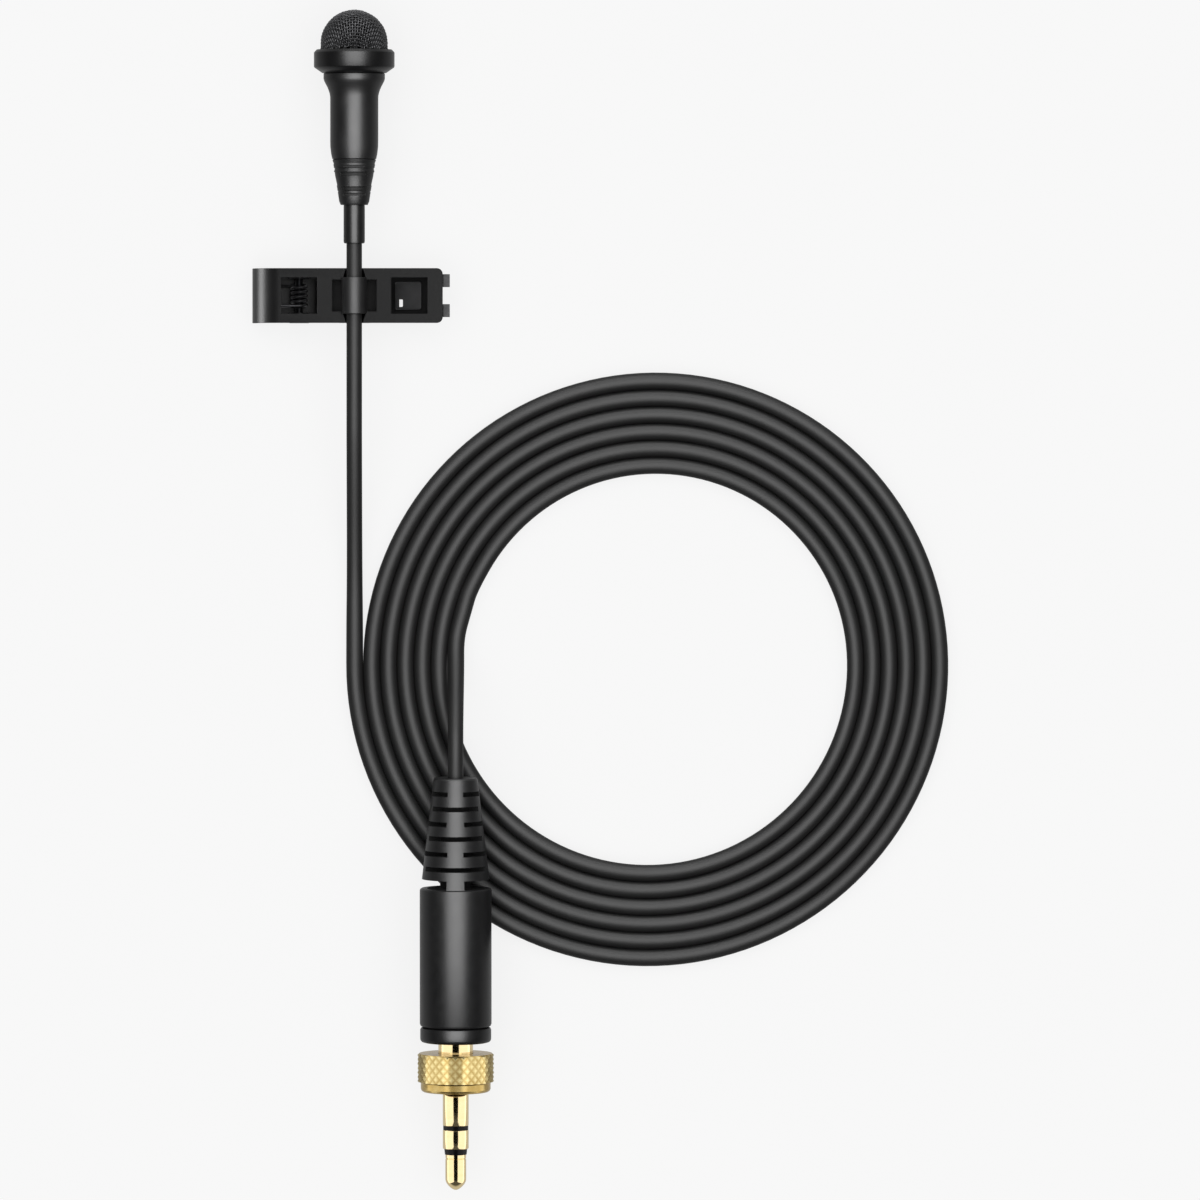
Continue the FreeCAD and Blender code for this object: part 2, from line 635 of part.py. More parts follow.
def plug_boot():
    """Tapered boot: rings on a core, tied by bars that alternate between the faces and the sides."""
    cone = doc.addObject("Part::Cone", "boot_cone")
    cone.setExpression("Radius1", bound("boot_top_radius"))
    cone.setExpression("Radius2", bound("boot_base_radius"))
    cone.setExpression("Height", bound("boot_length"))
    slots = []
    starts = []
    for place in range(3):
        starts.append((f"boot_side_slot_start + boot_slot_pitch * {place}", "boot_slot", True))
        starts.append((f"boot_face_slot_start + boot_slot_pitch * {place}", "boot_slot", False))
    starts += [("boot_length - boot_last_slot", "boot_last_slot + touch_gap", True)]
    for start, height, side in starts:
        ring = doc.addObject("Part::Cylinder", "slot_disc")
        ring.setExpression("Radius", bound("boot_base_radius + slot_reach"))
        core = doc.addObject("Part::Cylinder", "slot_core")
        core.setExpression("Radius", bound("boot_core_radius"))
        bar = doc.addObject("Part::Box", "slot_bar")
        across, along = ("Length", "Width") if side else ("Width", "Length")
        bar.setExpression(across, bound("boot_bar"))
        bar.setExpression(along, bound("(boot_base_radius + slot_reach) * 2"))
        low = {across: "-boot_bar / 2", along: "-boot_base_radius - slot_reach"}
        bar.setExpression("Placement.Base.x", bound(low["Length"]))
        bar.setExpression("Placement.Base.y", bound(low["Width"]))
        for item in (ring, core, bar):
            item.setExpression("Height", bound(height))
            item.setExpression("Placement.Base.z", bound(start))
        kept = doc.addObject("Part::Fuse", "slot_kept")
        kept.Base = core
        kept.Tool = bar
        slot = doc.addObject("Part::Cut", "slot")
        slot.Base = ring
        slot.Tool = kept
        slots.append(slot)
    bore = doc.addObject("Part::Cylinder", "boot_bore")
    bore.setExpression("Radius", bound("cord_radius"))
    bore.setExpression("Height", bound("boot_length * 2"))
    tools = doc.addObject("Part::MultiFuse", "boot_tools")
    tools.Shapes = slots + [bore]
    outer = doc.addObject("Part::MultiFuse", "boot_outer")
    neck = doc.addObject("Part::Cylinder", "boot_neck")
    neck.setExpression("Radius", bound("barrel_hole - touch_gap"))
    neck.setExpression("Height", bound("barrel_lip + touch_gap"))
    neck.setExpression("Placement.Base.z", bound("boot_length"))
    flange = doc.addObject("Part::Cylinder", "boot_flange")
    flange.setExpression("Radius", bound("barrel_radius - barrel_wall - touch_gap"))
    flange.setExpression("Height", bound("boot_flange_length"))
    flange.setExpression("Placement.Base.z", bound("boot_length + barrel_lip + touch_gap"))
    outer.Shapes = [cone, neck, flange]
    boot = doc.addObject("Part::Cut", "plug_boot")
    boot.Label = "plug_boot"
    boot.Base = outer
    boot.Tool = tools
    boot.Placement = plug_frame


def barrel():
    bore = "barrel_radius - barrel_wall"
    start = "boot_length + touch_gap"
    lip = "boot_length + barrel_lip"
    turned("plug_barrel", plug_frame, [
        ("barrel_hole", start), ("barrel_radius", start), ("barrel_radius", BARREL_END), (bore, BARREL_END),
        (bore, lip), ("barrel_hole", lip)])
    round_start = RING_END + " - end_ring_round"
    turned("plug_end_ring", plug_frame, [
        ("neck_shaft_radius + touch_gap", BARREL_END + " + touch_gap"),
        ("end_ring_radius", BARREL_END + " + touch_gap"),
        ("end_ring_radius", round_start), ("end_ring_radius - end_ring_round", RING_END),
        ("neck_shaft_radius + touch_gap", RING_END)])
    inside = bore + " - touch_gap"
    liner_start = lip + " + boot_flange_length + touch_gap * 2"
    tube("plug_liner", plug_frame, inside + " - liner_thickness", inside,
         liner_start, FLANGE_START + " - touch_gap")


def lock_nut():
    hole = "neck_shaft_radius + slide_gap"
    groove = "snap_ring_radius + slide_gap"
    groove_start = NUT_START + " + nut_wall / 2 - snap_ring_thickness / 2 - slide_gap"
    groove_end = NUT_START + " + nut_wall / 2 + snap_ring_thickness / 2 + slide_gap"
    wall_end = NUT_START + " + nut_wall"
    turned("lock_nut", plug_frame, [
        (hole, NUT_START), ("nut_radius - nut_chamfer", NUT_START),
        ("nut_radius", NUT_START + " + nut_chamfer"),
        ("nut_radius", STEP_START + " - nut_chamfer"), ("nut_radius - nut_chamfer", STEP_START),
        ("nut_step_radius", STEP_START), ("nut_step_radius", NUT_END + " - nut_step_chamfer"),
        ("nut_step_radius - nut_step_chamfer", NUT_END), ("nut_bore", NUT_END), ("nut_bore", wall_end),
        (hole, wall_end), (hole, groove_end), (groove, groove_end), (groove, groove_start),
        (hole, groove_start)])
    tube("nut_retaining_ring", plug_frame, "snap_ring_bore", "snap_ring_radius",
         NUT_START + " + nut_wall / 2 - snap_ring_thickness / 2",
         NUT_START + " + nut_wall / 2 + snap_ring_thickness / 2")


def jack():
    flange = "barrel_radius - barrel_wall - touch_gap"
    ring_groove = "snap_ring_bore - slide_gap"
    groove_start = NUT_START + " + nut_wall / 2 - snap_ring_thickness / 2 - slide_gap - nut_play"
    groove_end = NUT_START + " + nut_wall / 2 + snap_ring_thickness / 2 + slide_gap"
    shoulder = NUT_START + " + nut_wall"
    turned("jack_sleeve", plug_frame, [
        ("sleeve_bore", FLANGE_START), (flange, FLANGE_START), (flange, BARREL_END),
        ("neck_shaft_radius", BARREL_END), ("neck_shaft_radius", groove_start), (ring_groove, groove_start),
        (ring_groove, groove_end), ("neck_shaft_radius", groove_end), ("neck_shaft_radius", shoulder),
        ("jack_radius", shoulder), ("jack_radius", SLEEVE_END), ("sleeve_bore", SLEEVE_END)])
    back = FLANGE_START + " - contact_step"
    turned("jack_insulator_rear", plug_frame, [
        ("ring_tube_radius + touch_gap", back), ("sleeve_bore - touch_gap", back),
        ("sleeve_bore - touch_gap", SLEEVE_END), ("jack_radius", SLEEVE_END), ("jack_radius", GAP_END),
        ("ring_tube_radius + touch_gap", GAP_END)])
    back += " - contact_step"
    turned("jack_ring", plug_frame, [
        ("ring_bore_radius", back), ("ring_tube_radius", back), ("ring_tube_radius", GAP_END),
        ("jack_radius", GAP_END), ("jack_radius", JACK_RING_END), ("ring_bore_radius", JACK_RING_END)])
    back += " - contact_step"
    turned("jack_insulator_front", plug_frame, [
        ("rod_radius + touch_gap", back), ("ring_bore_radius - touch_gap", back),
        ("ring_bore_radius - touch_gap", JACK_RING_END), ("front_gap_radius", JACK_RING_END),
        ("front_gap_radius", TIP_START), ("rod_radius + touch_gap", TIP_START)])
    back += " - contact_step"
    groove = TIP_START + " + tip_groove_start"
    groove_end = groove + " + tip_groove_flank * 2 + tip_groove_width"
    end = TIP_START + " + jack_tip_length"
    turned("jack_tip", plug_frame, [
        ("0", back), ("rod_radius", back), ("rod_radius", TIP_START), ("tip_radius", TIP_START),
        ("tip_radius", groove), ("tip_groove_radius", groove + " + tip_groove_flank"),
        ("tip_groove_radius", groove_end + " - tip_groove_flank"), ("tip_radius", groove_end),
        ("tip_radius", TIP_START + " + tip_straight"), ("tip_shoulder_radius", TIP_START + " + tip_shoulder"),
        ("tip_end_radius", end), ("0", end)])


def plug_inside():
    turned("plug_cable_end", plug_frame, [
        ("0", "touch_gap"), ("cord_radius", "touch_gap"), ("cord_radius", "cable_end_length"),
        ("0", "cable_end_length")])
    clamp = turned("cable_clamp", plug_frame, [
        ("cord_radius + touch_gap", "clamp_start"), ("clamp_radius", "clamp_start"),
        ("clamp_radius", "clamp_start + clamp_length"),
        ("cord_radius + touch_gap", "clamp_start + clamp_length")])
    box(clamp, "Additive", ("-strap_width / 2", "-clamp_radius - strap_thickness", "clamp_start"),
        ("strap_width", "strap_thickness + strap_overlap", f"{FLANGE_START} - clamp_start - touch_gap"))
    tip_back = FLANGE_START + " - contact_step * 4"
    ring_back = FLANGE_START + " - contact_step * 2"
    lug = new_body("solder_lug_ring", plug_frame)
    box(lug, "Additive", ("-lug_width / 2", "ring_tube_radius + touch_gap", ring_back + " - lug_length"),
        ("lug_width", "lug_thickness", "lug_length + contact_step - touch_gap"))
    lug = new_body("solder_lug_tip", plug_frame)
    box(lug, "Additive", ("-lug_width / 2", "-lug_thickness / 2", tip_back + " - lug_length"),
        ("lug_width", "lug_thickness", "lug_length - touch_gap"))
    wire_pair("plug_wires", plug_frame, "cable_end_length", tip_back + " - lug_length - touch_gap")


# ---- cable -------------------------------------------------------------------------------------

def tube_path(points):
    """Straight runs joined by tangent arcs, each as large as its two runs allow."""
    edges = []
    radii = []
    start = points[0]
    for before, corner, after in zip(points, points[1:], points[2:]):
        back = (before - corner).normalize()
        ahead = (after - corner).normalize()
        half_turn = (math.pi - back.getAngle(ahead)) / 2
        reach = 0.45 * min((before - corner).Length, (after - corner).Length)
        radius = reach / math.tan(half_turn)
        arc_start = corner + back * reach
        arc_end = corner + ahead * reach
        inward = (back + ahead).normalize()
        middle = corner + inward * (radius / math.cos(half_turn) - radius)
        edges.append(Part.LineSegment(start, arc_start).toShape())
        edges.append(Part.Arc(arc_start, middle, arc_end).toShape())
        radii.append(radius)
        start = arc_end
    edges.append(Part.LineSegment(start, points[-1]).toShape())
    return Part.Wire(edges), radii


def cord(label, points):
    path, radii = tube_path(points)
    direction = (points[1] - points[0]).normalize()
    section = Part.Wire(Part.makeCircle(d.cord_radius, points[0], direction))
    shape = path.makePipeShell([section], True, True)
    expected = math.pi * d.cord_radius ** 2 * path.Length
    print(label, "length", round(path.Length, 2), "radii", [round(radius, 1) for radius in radii],
          "volume", round(shape.Volume, 2), "expected", round(expected, 2))
    feature = doc.addObject("Part::Feature", label)
    feature.Label = label
    feature.Shape = shape


def lead_points():
    """Out of the sleeve at the height of the microphone, through the clip, then down to the floor."""
    sleeve_y = tip_y - d.body_end - d.relief_length - d.touch_gap
    floor_z = d.cord_radius
    return [
        Vector(mic_x, sleeve_y, axis_height),
        Vector(mic_x, tip_y - d.lead_drop_station, axis_height),
        Vector(mic_x, tip_y - d.lead_floor_station, floor_z),
        Vector(mic_x, coil_y, floor_z)]


def tail_points():
    """Off the inside of the coil, up over its turns and down the slope of the plug into its boot."""
    last_radius = d.coil_radius - coil_pitch * (d.coil_turns - 0.5)
    centre = Vector(mic_x + d.coil_radius + coil_pitch / 2, coil_y, d.cord_radius)
    release = math.radians(HALF_TURN - d.coil_release_angle)
    leave = centre + Vector(math.cos(release), math.sin(release), 0) * last_radius
    corner_y = coil_y + last_radius * math.tan(math.radians(d.coil_release_angle) / 2)
    into_plug = plug_frame.Rotation.multVec(Vector(0, 0, 1))
    plug_top = plug_frame.Base
    return [
        leave,
        Vector(plug_x, corner_y, d.cord_radius),
        Vector(plug_x, corner_y - d.tail_lift_run, d.cord_radius + d.tail_lift),
        Vector(plug_x, plug_top_y + d.tail_entry_run, plug_top_z - d.tail_entry_drop),
        plug_top - into_plug * d.tail_entry_length,
        plug_top]


def sector(label, centre, radius, start_angle, angle):
    """A flat slice of a disc, as thick as the cable, turned about the coil's axis."""
    piece = doc.addObject("Part::Cylinder", label)
    piece.Placement.Rotation = Rotation(Vector(0, 0, 1), start_angle)
    piece.setExpression("Placement.Base.x", bound(centre))
    piece.setExpression("Radius", bound(radius))
    piece.setExpression("Height", bound("cord_radius * 2"))
    piece.setExpression("Angle", bound(angle))
    return piece


def coil():
    """Flat coil, one turn thick, of half turns about two centres half a pitch apart."""
    pitch = "(cord_radius * 2 + turn_gap)"
    lower = "coil_radius"
    upper = f"coil_radius + {pitch} / 2"
    last = f"coil_radius - {pitch} * (coil_turns - 1) - cord_radius"
    half = str(HALF_TURN)
    outside = doc.addObject("Part::MultiFuse", "coil_outside")
    outside.Shapes = [
        sector("outer_low", lower, "coil_radius + cord_radius", HALF_TURN, half),
        sector("outer_high", upper, f"coil_radius - {pitch} / 2 + cord_radius", 0, half)]
    inside = doc.addObject("Part::MultiFuse", "coil_inside")
    inside.Shapes = [
        sector("inner_low", lower, last, HALF_TURN, half),
        sector("inner_high", upper, f"{last} - {pitch} / 2", 0, half),
        sector("inner_gap", upper, f"{last} + {pitch} / 2",
               HALF_TURN - d.coil_release_angle, "coil_release_angle")]
    ring = doc.addObject("Part::Cut", "cord_coil")
    ring.Label = "cord_coil"
    ring.Base = outside
    ring.Tool = inside
    ring.Placement = Placement(Vector(mic_x, coil_y, 0), Rotation())


# ---- the assembly ------------------------------------------------------------------------------

windshield_mesh()
windshield_foam()
windshield_collar()
mic_housing()
mic_strain_relief()
cable_sleeve()
capsule()
wire_pair("microphone_wires", mic_frame, CAPSULE_END + " + touch_gap", RELIEF_END)
clip_front_plate()
clip_rear_jaw()
clip_hinge_pin()
clip_spring()
cable_holder()
plug_boot()
barrel()
lock_nut()
jack()
plug_inside()
cord("cord_lead", lead_points())
cord("cord_tail", tail_points())
coil()
doc.recompute()

NODES = [
    "windshield_mesh", "windshield_foam", "windshield_collar", "mic_housing", "mic_strain_relief",
    "cable_sleeve", "capsule_case", "diaphragm_ring", "diaphragm", "backplate", "backplate_holder",
    "capsule_board", "capsule_seal",
    "microphone_wires", "clip_front_plate", "clip_rear_jaw", "clip_hinge_pin", "clip_spring_coil",
    "clip_spring_leg", "cable_holder", "cord_lead", "cord_coil", "cord_tail", "plug_boot", "plug_barrel",
    "plug_end_ring", "plug_liner", "lock_nut", "nut_retaining_ring", "jack_sleeve", "jack_insulator_rear",
    "jack_ring", "jack_insulator_front", "jack_tip", "plug_cable_end", "cable_clamp", "solder_lug_ring",
    "solder_lug_tip", "plug_wires"]

for item in doc.Objects:
    if "Invalid" in item.State or "Error" in item.State:
        raise RuntimeError(f"{item.Label} failed: {item.State}")

os.makedirs("parts", exist_ok=True)
for node in NODES:
    shape = doc.getObjectsByLabel(node)[0].Shape
    if shape.isNull() or not shape.isValid():
        raise RuntimeError(f"{node} has no valid shape")
    print(node, "solids", len(shape.Solids), "volume", round(shape.Volume, 3))
    shape.exportStep(f"parts/{node}.step")
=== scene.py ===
import math
import random

import bmesh
import bpy
from mathutils import Matrix, Vector


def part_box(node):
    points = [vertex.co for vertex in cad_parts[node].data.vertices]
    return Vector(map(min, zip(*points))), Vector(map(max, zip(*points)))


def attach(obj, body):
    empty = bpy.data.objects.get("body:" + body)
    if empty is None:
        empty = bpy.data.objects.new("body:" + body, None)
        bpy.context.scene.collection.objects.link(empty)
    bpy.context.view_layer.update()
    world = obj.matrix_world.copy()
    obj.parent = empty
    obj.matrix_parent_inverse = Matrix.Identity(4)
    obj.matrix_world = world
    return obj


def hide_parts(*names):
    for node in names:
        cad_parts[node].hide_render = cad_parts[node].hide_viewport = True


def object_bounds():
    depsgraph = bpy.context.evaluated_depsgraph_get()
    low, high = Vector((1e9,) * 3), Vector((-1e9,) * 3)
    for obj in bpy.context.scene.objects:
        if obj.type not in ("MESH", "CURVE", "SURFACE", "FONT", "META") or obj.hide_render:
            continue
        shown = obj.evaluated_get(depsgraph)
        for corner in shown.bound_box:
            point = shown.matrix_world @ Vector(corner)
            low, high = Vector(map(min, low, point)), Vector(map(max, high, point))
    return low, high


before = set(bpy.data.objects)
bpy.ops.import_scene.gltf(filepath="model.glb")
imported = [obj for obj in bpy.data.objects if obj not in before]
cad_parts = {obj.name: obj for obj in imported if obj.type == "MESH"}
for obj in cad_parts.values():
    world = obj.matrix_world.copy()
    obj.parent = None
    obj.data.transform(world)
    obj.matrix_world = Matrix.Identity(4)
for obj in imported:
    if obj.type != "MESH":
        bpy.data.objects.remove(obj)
cad_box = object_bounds()

# ---------------------------------------------------------------------------------------------------------------
# Studio: a white table with the microphone flat on it, seen from straight above through a long lens. A softbox
# overhead draws a soft line along the tops of the round black pieces. Two wide ones left and right of the camera
# leave polished metal a dark line between two bright bands.
view_width = 0.16216
camera_height = 2.505
lens_reach = 2.5            # from the camera to the level at which the view is that wide
sensor_width = 36.0
box_middle = (cad_box[0] + cad_box[1]) / 2

camera = bpy.data.objects.new("camera", bpy.data.cameras.new("camera"))
camera.data.sensor_width = sensor_width
camera.data.lens = sensor_width * lens_reach / view_width
camera.data.clip_end = 20.0
camera.location = (box_middle.x, box_middle.y, camera_height)
bpy.context.scene.collection.objects.link(camera)
bpy.context.scene.camera = camera
bpy.context.scene.view_settings.view_transform = "Standard"


def linear(colour):
    """An sRGB hex colour as the linear RGBA that shaders and lights take."""
    parts = [int(colour[i:i + 2], 16) / 255 for i in (1, 3, 5)]
    return [c / 12.92 if c <= 0.04045 else ((c + 0.055) / 1.055) ** 2.4 for c in parts] + [1.0]


def add_node(tree, kind, inputs=(), **settings):
    """Adds a node with its settings; an input given as a socket is linked, any other is set."""
    made = tree.nodes.new(kind)
    for name, value in settings.items():
        setattr(made, name, value)
    for name, value in dict(inputs).items():
        if isinstance(value, bpy.types.NodeSocket):
            tree.links.new(value, made.inputs[name])
        else:
            made.inputs[name].default_value = value
    return made


def empty_material(name):
    """A material with nothing in it yet, and its node tree."""
    material = bpy.data.materials.new(name)
    material.use_nodes = True
    material.node_tree.nodes.clear()
    return material, material.node_tree


# white acrylic table top, lit from below as well as from the tent, so that shadows on it stay faint
table_top, tree = empty_material("opal_acrylic")
place = add_node(tree, "ShaderNodeTexCoord").outputs["Object"]
mottle = add_node(tree, "ShaderNodeTexNoise", {"Vector": place, "Scale": 40.0, "Detail": 2.0})
paper = add_node(tree, "ShaderNodeMix", {
    "Factor": mottle.outputs["Fac"], "A": linear("#5b5b5b"), "B": linear("#5d5d5d")}, data_type="RGBA")
surface = add_node(tree, "ShaderNodeBsdfPrincipled", {
    "Base Color": paper.outputs["Result"], "Roughness": 0.9, "Specular IOR Level": 0.0,
    "Emission Color": linear("#ffffff"), "Emission Strength": 0.825})
add_node(tree, "ShaderNodeOutputMaterial", {"Surface": surface.outputs["BSDF"]})

table_half_side = 6.0
gap_under_pieces = 0.0001
board = bmesh.new()
bmesh.ops.create_grid(board, x_segments=1, y_segments=1, size=table_half_side)
table = bpy.data.objects.new("table", bpy.data.meshes.new("table"))
board.to_mesh(table.data)
board.free()
table.data.transform(Matrix.Translation((box_middle.x, box_middle.y, -gap_under_pieces)))
table.data.materials.append(table_top)
table.visible_glossy = False
bpy.context.scene.collection.objects.link(table)

# pieces are sorted by how they are lit: black finishes by one softbox overhead, gold by two wide ones at the
# sides with the camera's dark line between them, the knurl by a third that fills that line, the mesh from beyond
# its tip, and the clip by a small one overhead and a low reflector at its rolled end
black_pieces = bpy.data.collections.new("lit_from_overhead")
gold_pieces = bpy.data.collections.new("lit_from_both_sides")
knurled_pieces = bpy.data.collections.new("lit_all_round")
mesh_pieces = bpy.data.collections.new("lit_from_beyond")
clip_pieces = bpy.data.collections.new("lit_from_the_left")
softboxes = [       # name, what it lights, place over the middle of the object, width and length, power
    ("overhead_softbox", black_pieces, (0.0, 0.08, 0.9), (0.95, 1.1), 41.0),
    ("far_softbox", black_pieces, (0.0, 1.3, 0.62), (1.2, 0.8), 34.0),
    ("mesh_softbox", mesh_pieces, (0.0, 1.1, 0.7), (1.8, 0.9), 26.0),
    ("knurl_softbox", knurled_pieces, (0.0, 0.0, 0.9), (1.4, 1.4), 4.2),
    ("left_softbox", gold_pieces, (-1.30, 0.0, 0.62), (2.65, 3.2), 32.0),
    ("right_softbox", gold_pieces, (1.30, 0.0, 0.62), (2.65, 3.2), 32.0),
    ("low_reflector", clip_pieces, (-0.9, 0.0, 0.12), (0.4, 1.2), 26.0),
    ("clip_softbox", clip_pieces, (0.16, 0.2, 0.9), (0.3, 0.6), 2.8),
]
for name, lit_pieces, offset, size, watts in softboxes:
    lamp = bpy.data.lights.new(name, "AREA")
    lamp.shape = "RECTANGLE"
    lamp.size, lamp.size_y = size
    lamp.energy = watts
    softbox = bpy.data.objects.new(name, lamp)
    softbox.location = box_middle + Vector(offset)
    softbox.rotation_euler = (-math.atan2(offset[1], offset[2]), math.atan2(offset[0], offset[2]), 0)
    softbox.visible_camera = False
    softbox.visible_diffuse = False
    softbox.light_linking.receiver_collection = lit_pieces
    bpy.context.scene.collection.objects.link(softbox)

# a white tent lights the table from high up all round but not from straight above, where the camera looks in;
# reflections see it dimmer, and level views see it as a pale backdrop
tent = bpy.data.worlds.new("light_tent")
bpy.context.scene.world = tent
tent.use_nodes = True
tree = tent.node_tree
tree.nodes.clear()
direction = add_node(tree, "ShaderNodeTexCoord").outputs["Generated"]
height = add_node(tree, "ShaderNodeSeparateXYZ", {"Vector": direction})
roof = add_node(tree, "ShaderNodeMapRange", {
    "Value": height.outputs["Z"], "From Min": 0.45, "From Max": 0.75, "To Min": 0.25, "To Max": 1.70})
opening = add_node(tree, "ShaderNodeMapRange", {
    "Value": height.outputs["Z"], "From Min": 0.95, "From Max": 0.98, "To Min": 1.0, "To Max": 0.0})
lighting = add_node(tree, "ShaderNodeMath", {0: roof.outputs["Result"], 1: opening.outputs["Result"]},
                    operation="MULTIPLY")
ray = add_node(tree, "ShaderNodeLightPath")
dim_sides = add_node(tree, "ShaderNodeMapRange", {
    "Value": height.outputs["Z"], "From Min": -0.2, "From Max": 0.1, "To Min": 0.60, "To Max": 0.09})
dark_roof = add_node(tree, "ShaderNodeMapRange", {
    "Value": height.outputs["Z"], "From Min": 0.80, "From Max": 0.93, "To Min": 1.0, "To Max": 0.0})
seen_in_gloss = add_node(tree, "ShaderNodeMath", {0: dim_sides.outputs["Result"], 1: dark_roof.outputs["Result"]},
                         operation="MULTIPLY")
for_reflections = add_node(tree, "ShaderNodeMix", {
    "Factor": ray.outputs["Is Glossy Ray"], "A": lighting.outputs["Value"], "B": seen_in_gloss.outputs["Value"]})
strength = add_node(tree, "ShaderNodeMix", {
    "Factor": ray.outputs["Is Camera Ray"], "A": for_reflections.outputs["Result"], "B": 0.93})
backdrop = add_node(tree, "ShaderNodeBackground", {
    "Color": linear("#ffffff"), "Strength": strength.outputs["Result"]})
add_node(tree, "ShaderNodeOutputWorld", {"Surface": backdrop.outputs["Background"]})

# ---------------------------------------------------------------------------------------------------------------
# Cable: a thin screened lead in a soft black jacket, 1.34 m from the microphone to the plug. It runs straight
# through the clip, lies down on the table, goes round in six flat turns and climbs over them into the plug's boot.
cable_diameter = 0.0021
lead_route = [
    (0.00047, -0.005245, 0.00546),
    (0.00047, -0.033000, 0.00546),
    (0.00047, -0.037435, 0.00546),
    (0.00047, -0.054835, 0.00105),
    (0.00047, -0.062220, 0.00115),
]
tail_route = [
    (0.015190, -0.059984, 0.00115),
    (0.014150, -0.063636, 0.00115),
    (0.014180, -0.067836, 0.00230),
    (0.014180, -0.074735, 0.0072974),
    (0.014180, -0.078645, 0.0084354),
    (0.014180, -0.082635, 0.0081474),
]
coil_y = -0.067435
coil_outer_radius = 0.0396
half_turn_step = 0.0011425  # each half turn is this much tighter than the last
half_turns = 12
points_per_half_turn = 12
coil_middles = (0.04007, 0.0412125)     # the half turns go round these two by turns
release_points = 11         # points of the last half turn before the tail leaves it
tail_points_pressed = 3     # points of the tail that still lie against the turns
turn_spread = 1.092         # the soft jacket is pressed a little wide where the turns touch

coil_route = []
for half_turn in range(half_turns):
    step = math.pi / points_per_half_turn
    radius = (coil_outer_radius - half_turn * half_turn_step) / math.cos(step / 2)
    start = math.pi * (half_turn + 1)
    count = release_points if half_turn == half_turns - 1 else points_per_half_turn
    for i in range(count):
        angle = start + (i + 0.5) * step
        coil_route.append((coil_middles[half_turn % 2] + radius * math.cos(angle),
                           coil_y + radius * math.sin(angle), cable_diameter / 2 * turn_spread))

cable_curve = bpy.data.curves.new("cable", "CURVE")
cable_curve.dimensions = "3D"
cable_curve.resolution_u = 6
cable_curve.bevel_depth = cable_diameter / 2
cable_curve.bevel_resolution = 4
cable_curve.use_fill_caps = True
route = lead_route + coil_route + tail_route
line = cable_curve.splines.new("NURBS")
line.points.add(len(route) - 1)
for number, (point, place) in enumerate(zip(line.points, route)):
    point.co = (*place, 1.0)
    if len(lead_route) - 1 <= number < len(lead_route) + len(coil_route) + tail_points_pressed:
        point.radius = turn_spread
line.order_u = 3
line.use_endpoint_u = True
cable = bpy.data.objects.new("cable", cable_curve)
bpy.context.scene.collection.objects.link(cable)

# soft TPE jacket, extruded: deep black, satin, with the faint grain of the die and a little bloom
cable_jacket, tree = empty_material("extruded_tpe_jacket")
place = add_node(tree, "ShaderNodeTexCoord").outputs["Object"]
bloom = add_node(tree, "ShaderNodeTexNoise", {"Vector": place, "Scale": 180.0, "Detail": 3.0})
grain = add_node(tree, "ShaderNodeTexNoise", {"Vector": place, "Scale": 2600.0, "Detail": 2.0})
colours = add_node(tree, "ShaderNodeMix", {
    "Factor": bloom.outputs["Fac"], "A": linear("#0d0d0d"), "B": linear("#161616")}, data_type="RGBA")
gloss = add_node(tree, "ShaderNodeMapRange", {
    "Value": bloom.outputs["Fac"], "To Min": 0.52, "To Max": 0.60})
bumps = add_node(tree, "ShaderNodeBump", {
    "Strength": 0.25, "Distance": 0.00003, "Height": grain.outputs["Fac"]})
surface = add_node(tree, "ShaderNodeBsdfPrincipled", {
    "Base Color": colours.outputs["Result"], "Roughness": gloss.outputs["Result"],
    "Normal": bumps.outputs["Normal"], "IOR": 1.28})
add_node(tree, "ShaderNodeOutputMaterial", {"Surface": surface.outputs["BSDF"]})
cable_curve.materials.append(cable_jacket)
black_pieces.objects.link(cable)

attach(cable, "microphone")
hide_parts("cord_lead", "cord_coil", "cord_tail")

# ---------------------------------------------------------------------------------------------------------------
# Windshield mesh: a dome pressed from fine woven steel wire and blackened. Its skirt is gripped by the collar,
# and the foam behind it shows as dark specks between the wires.
MM = 0.001
mesh_low, mesh_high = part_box("windshield_mesh")
mic_place = Matrix.Translation((
    (mesh_low.x + mesh_high.x) / 2, mesh_high.y, (mesh_low.z + mesh_high.z) / 2)) @ Matrix.Scale(MM, 4)
dome_radius = (mesh_high.x - mesh_low.x) / 2 / MM
mesh_wire_radius = 0.11     # coarser than the real wire, so that the weave shows
mesh_pitch = 0.46
skirt_length = 1.2
dome_quarter = dome_radius * math.pi / 2
skirt_reach = dome_quarter + skirt_length
least_wire_uneven, most_wire_uneven = 0.75, 1.3


def on_dome(across, along, lift):
    """A point of the cloth laid over the dome: distances from its tip, and the height over the middle layer."""
    reach = math.hypot(across, along)
    bend = min(reach, dome_quarter) / dome_radius
    around = math.atan2(along, across)
    layer = dome_radius - 1.5 * mesh_wire_radius + lift
    station = dome_radius - layer * math.cos(bend) + max(0.0, reach - dome_quarter)
    return (layer * math.sin(bend) * math.cos(around), -station, layer * math.sin(bend) * math.sin(around))


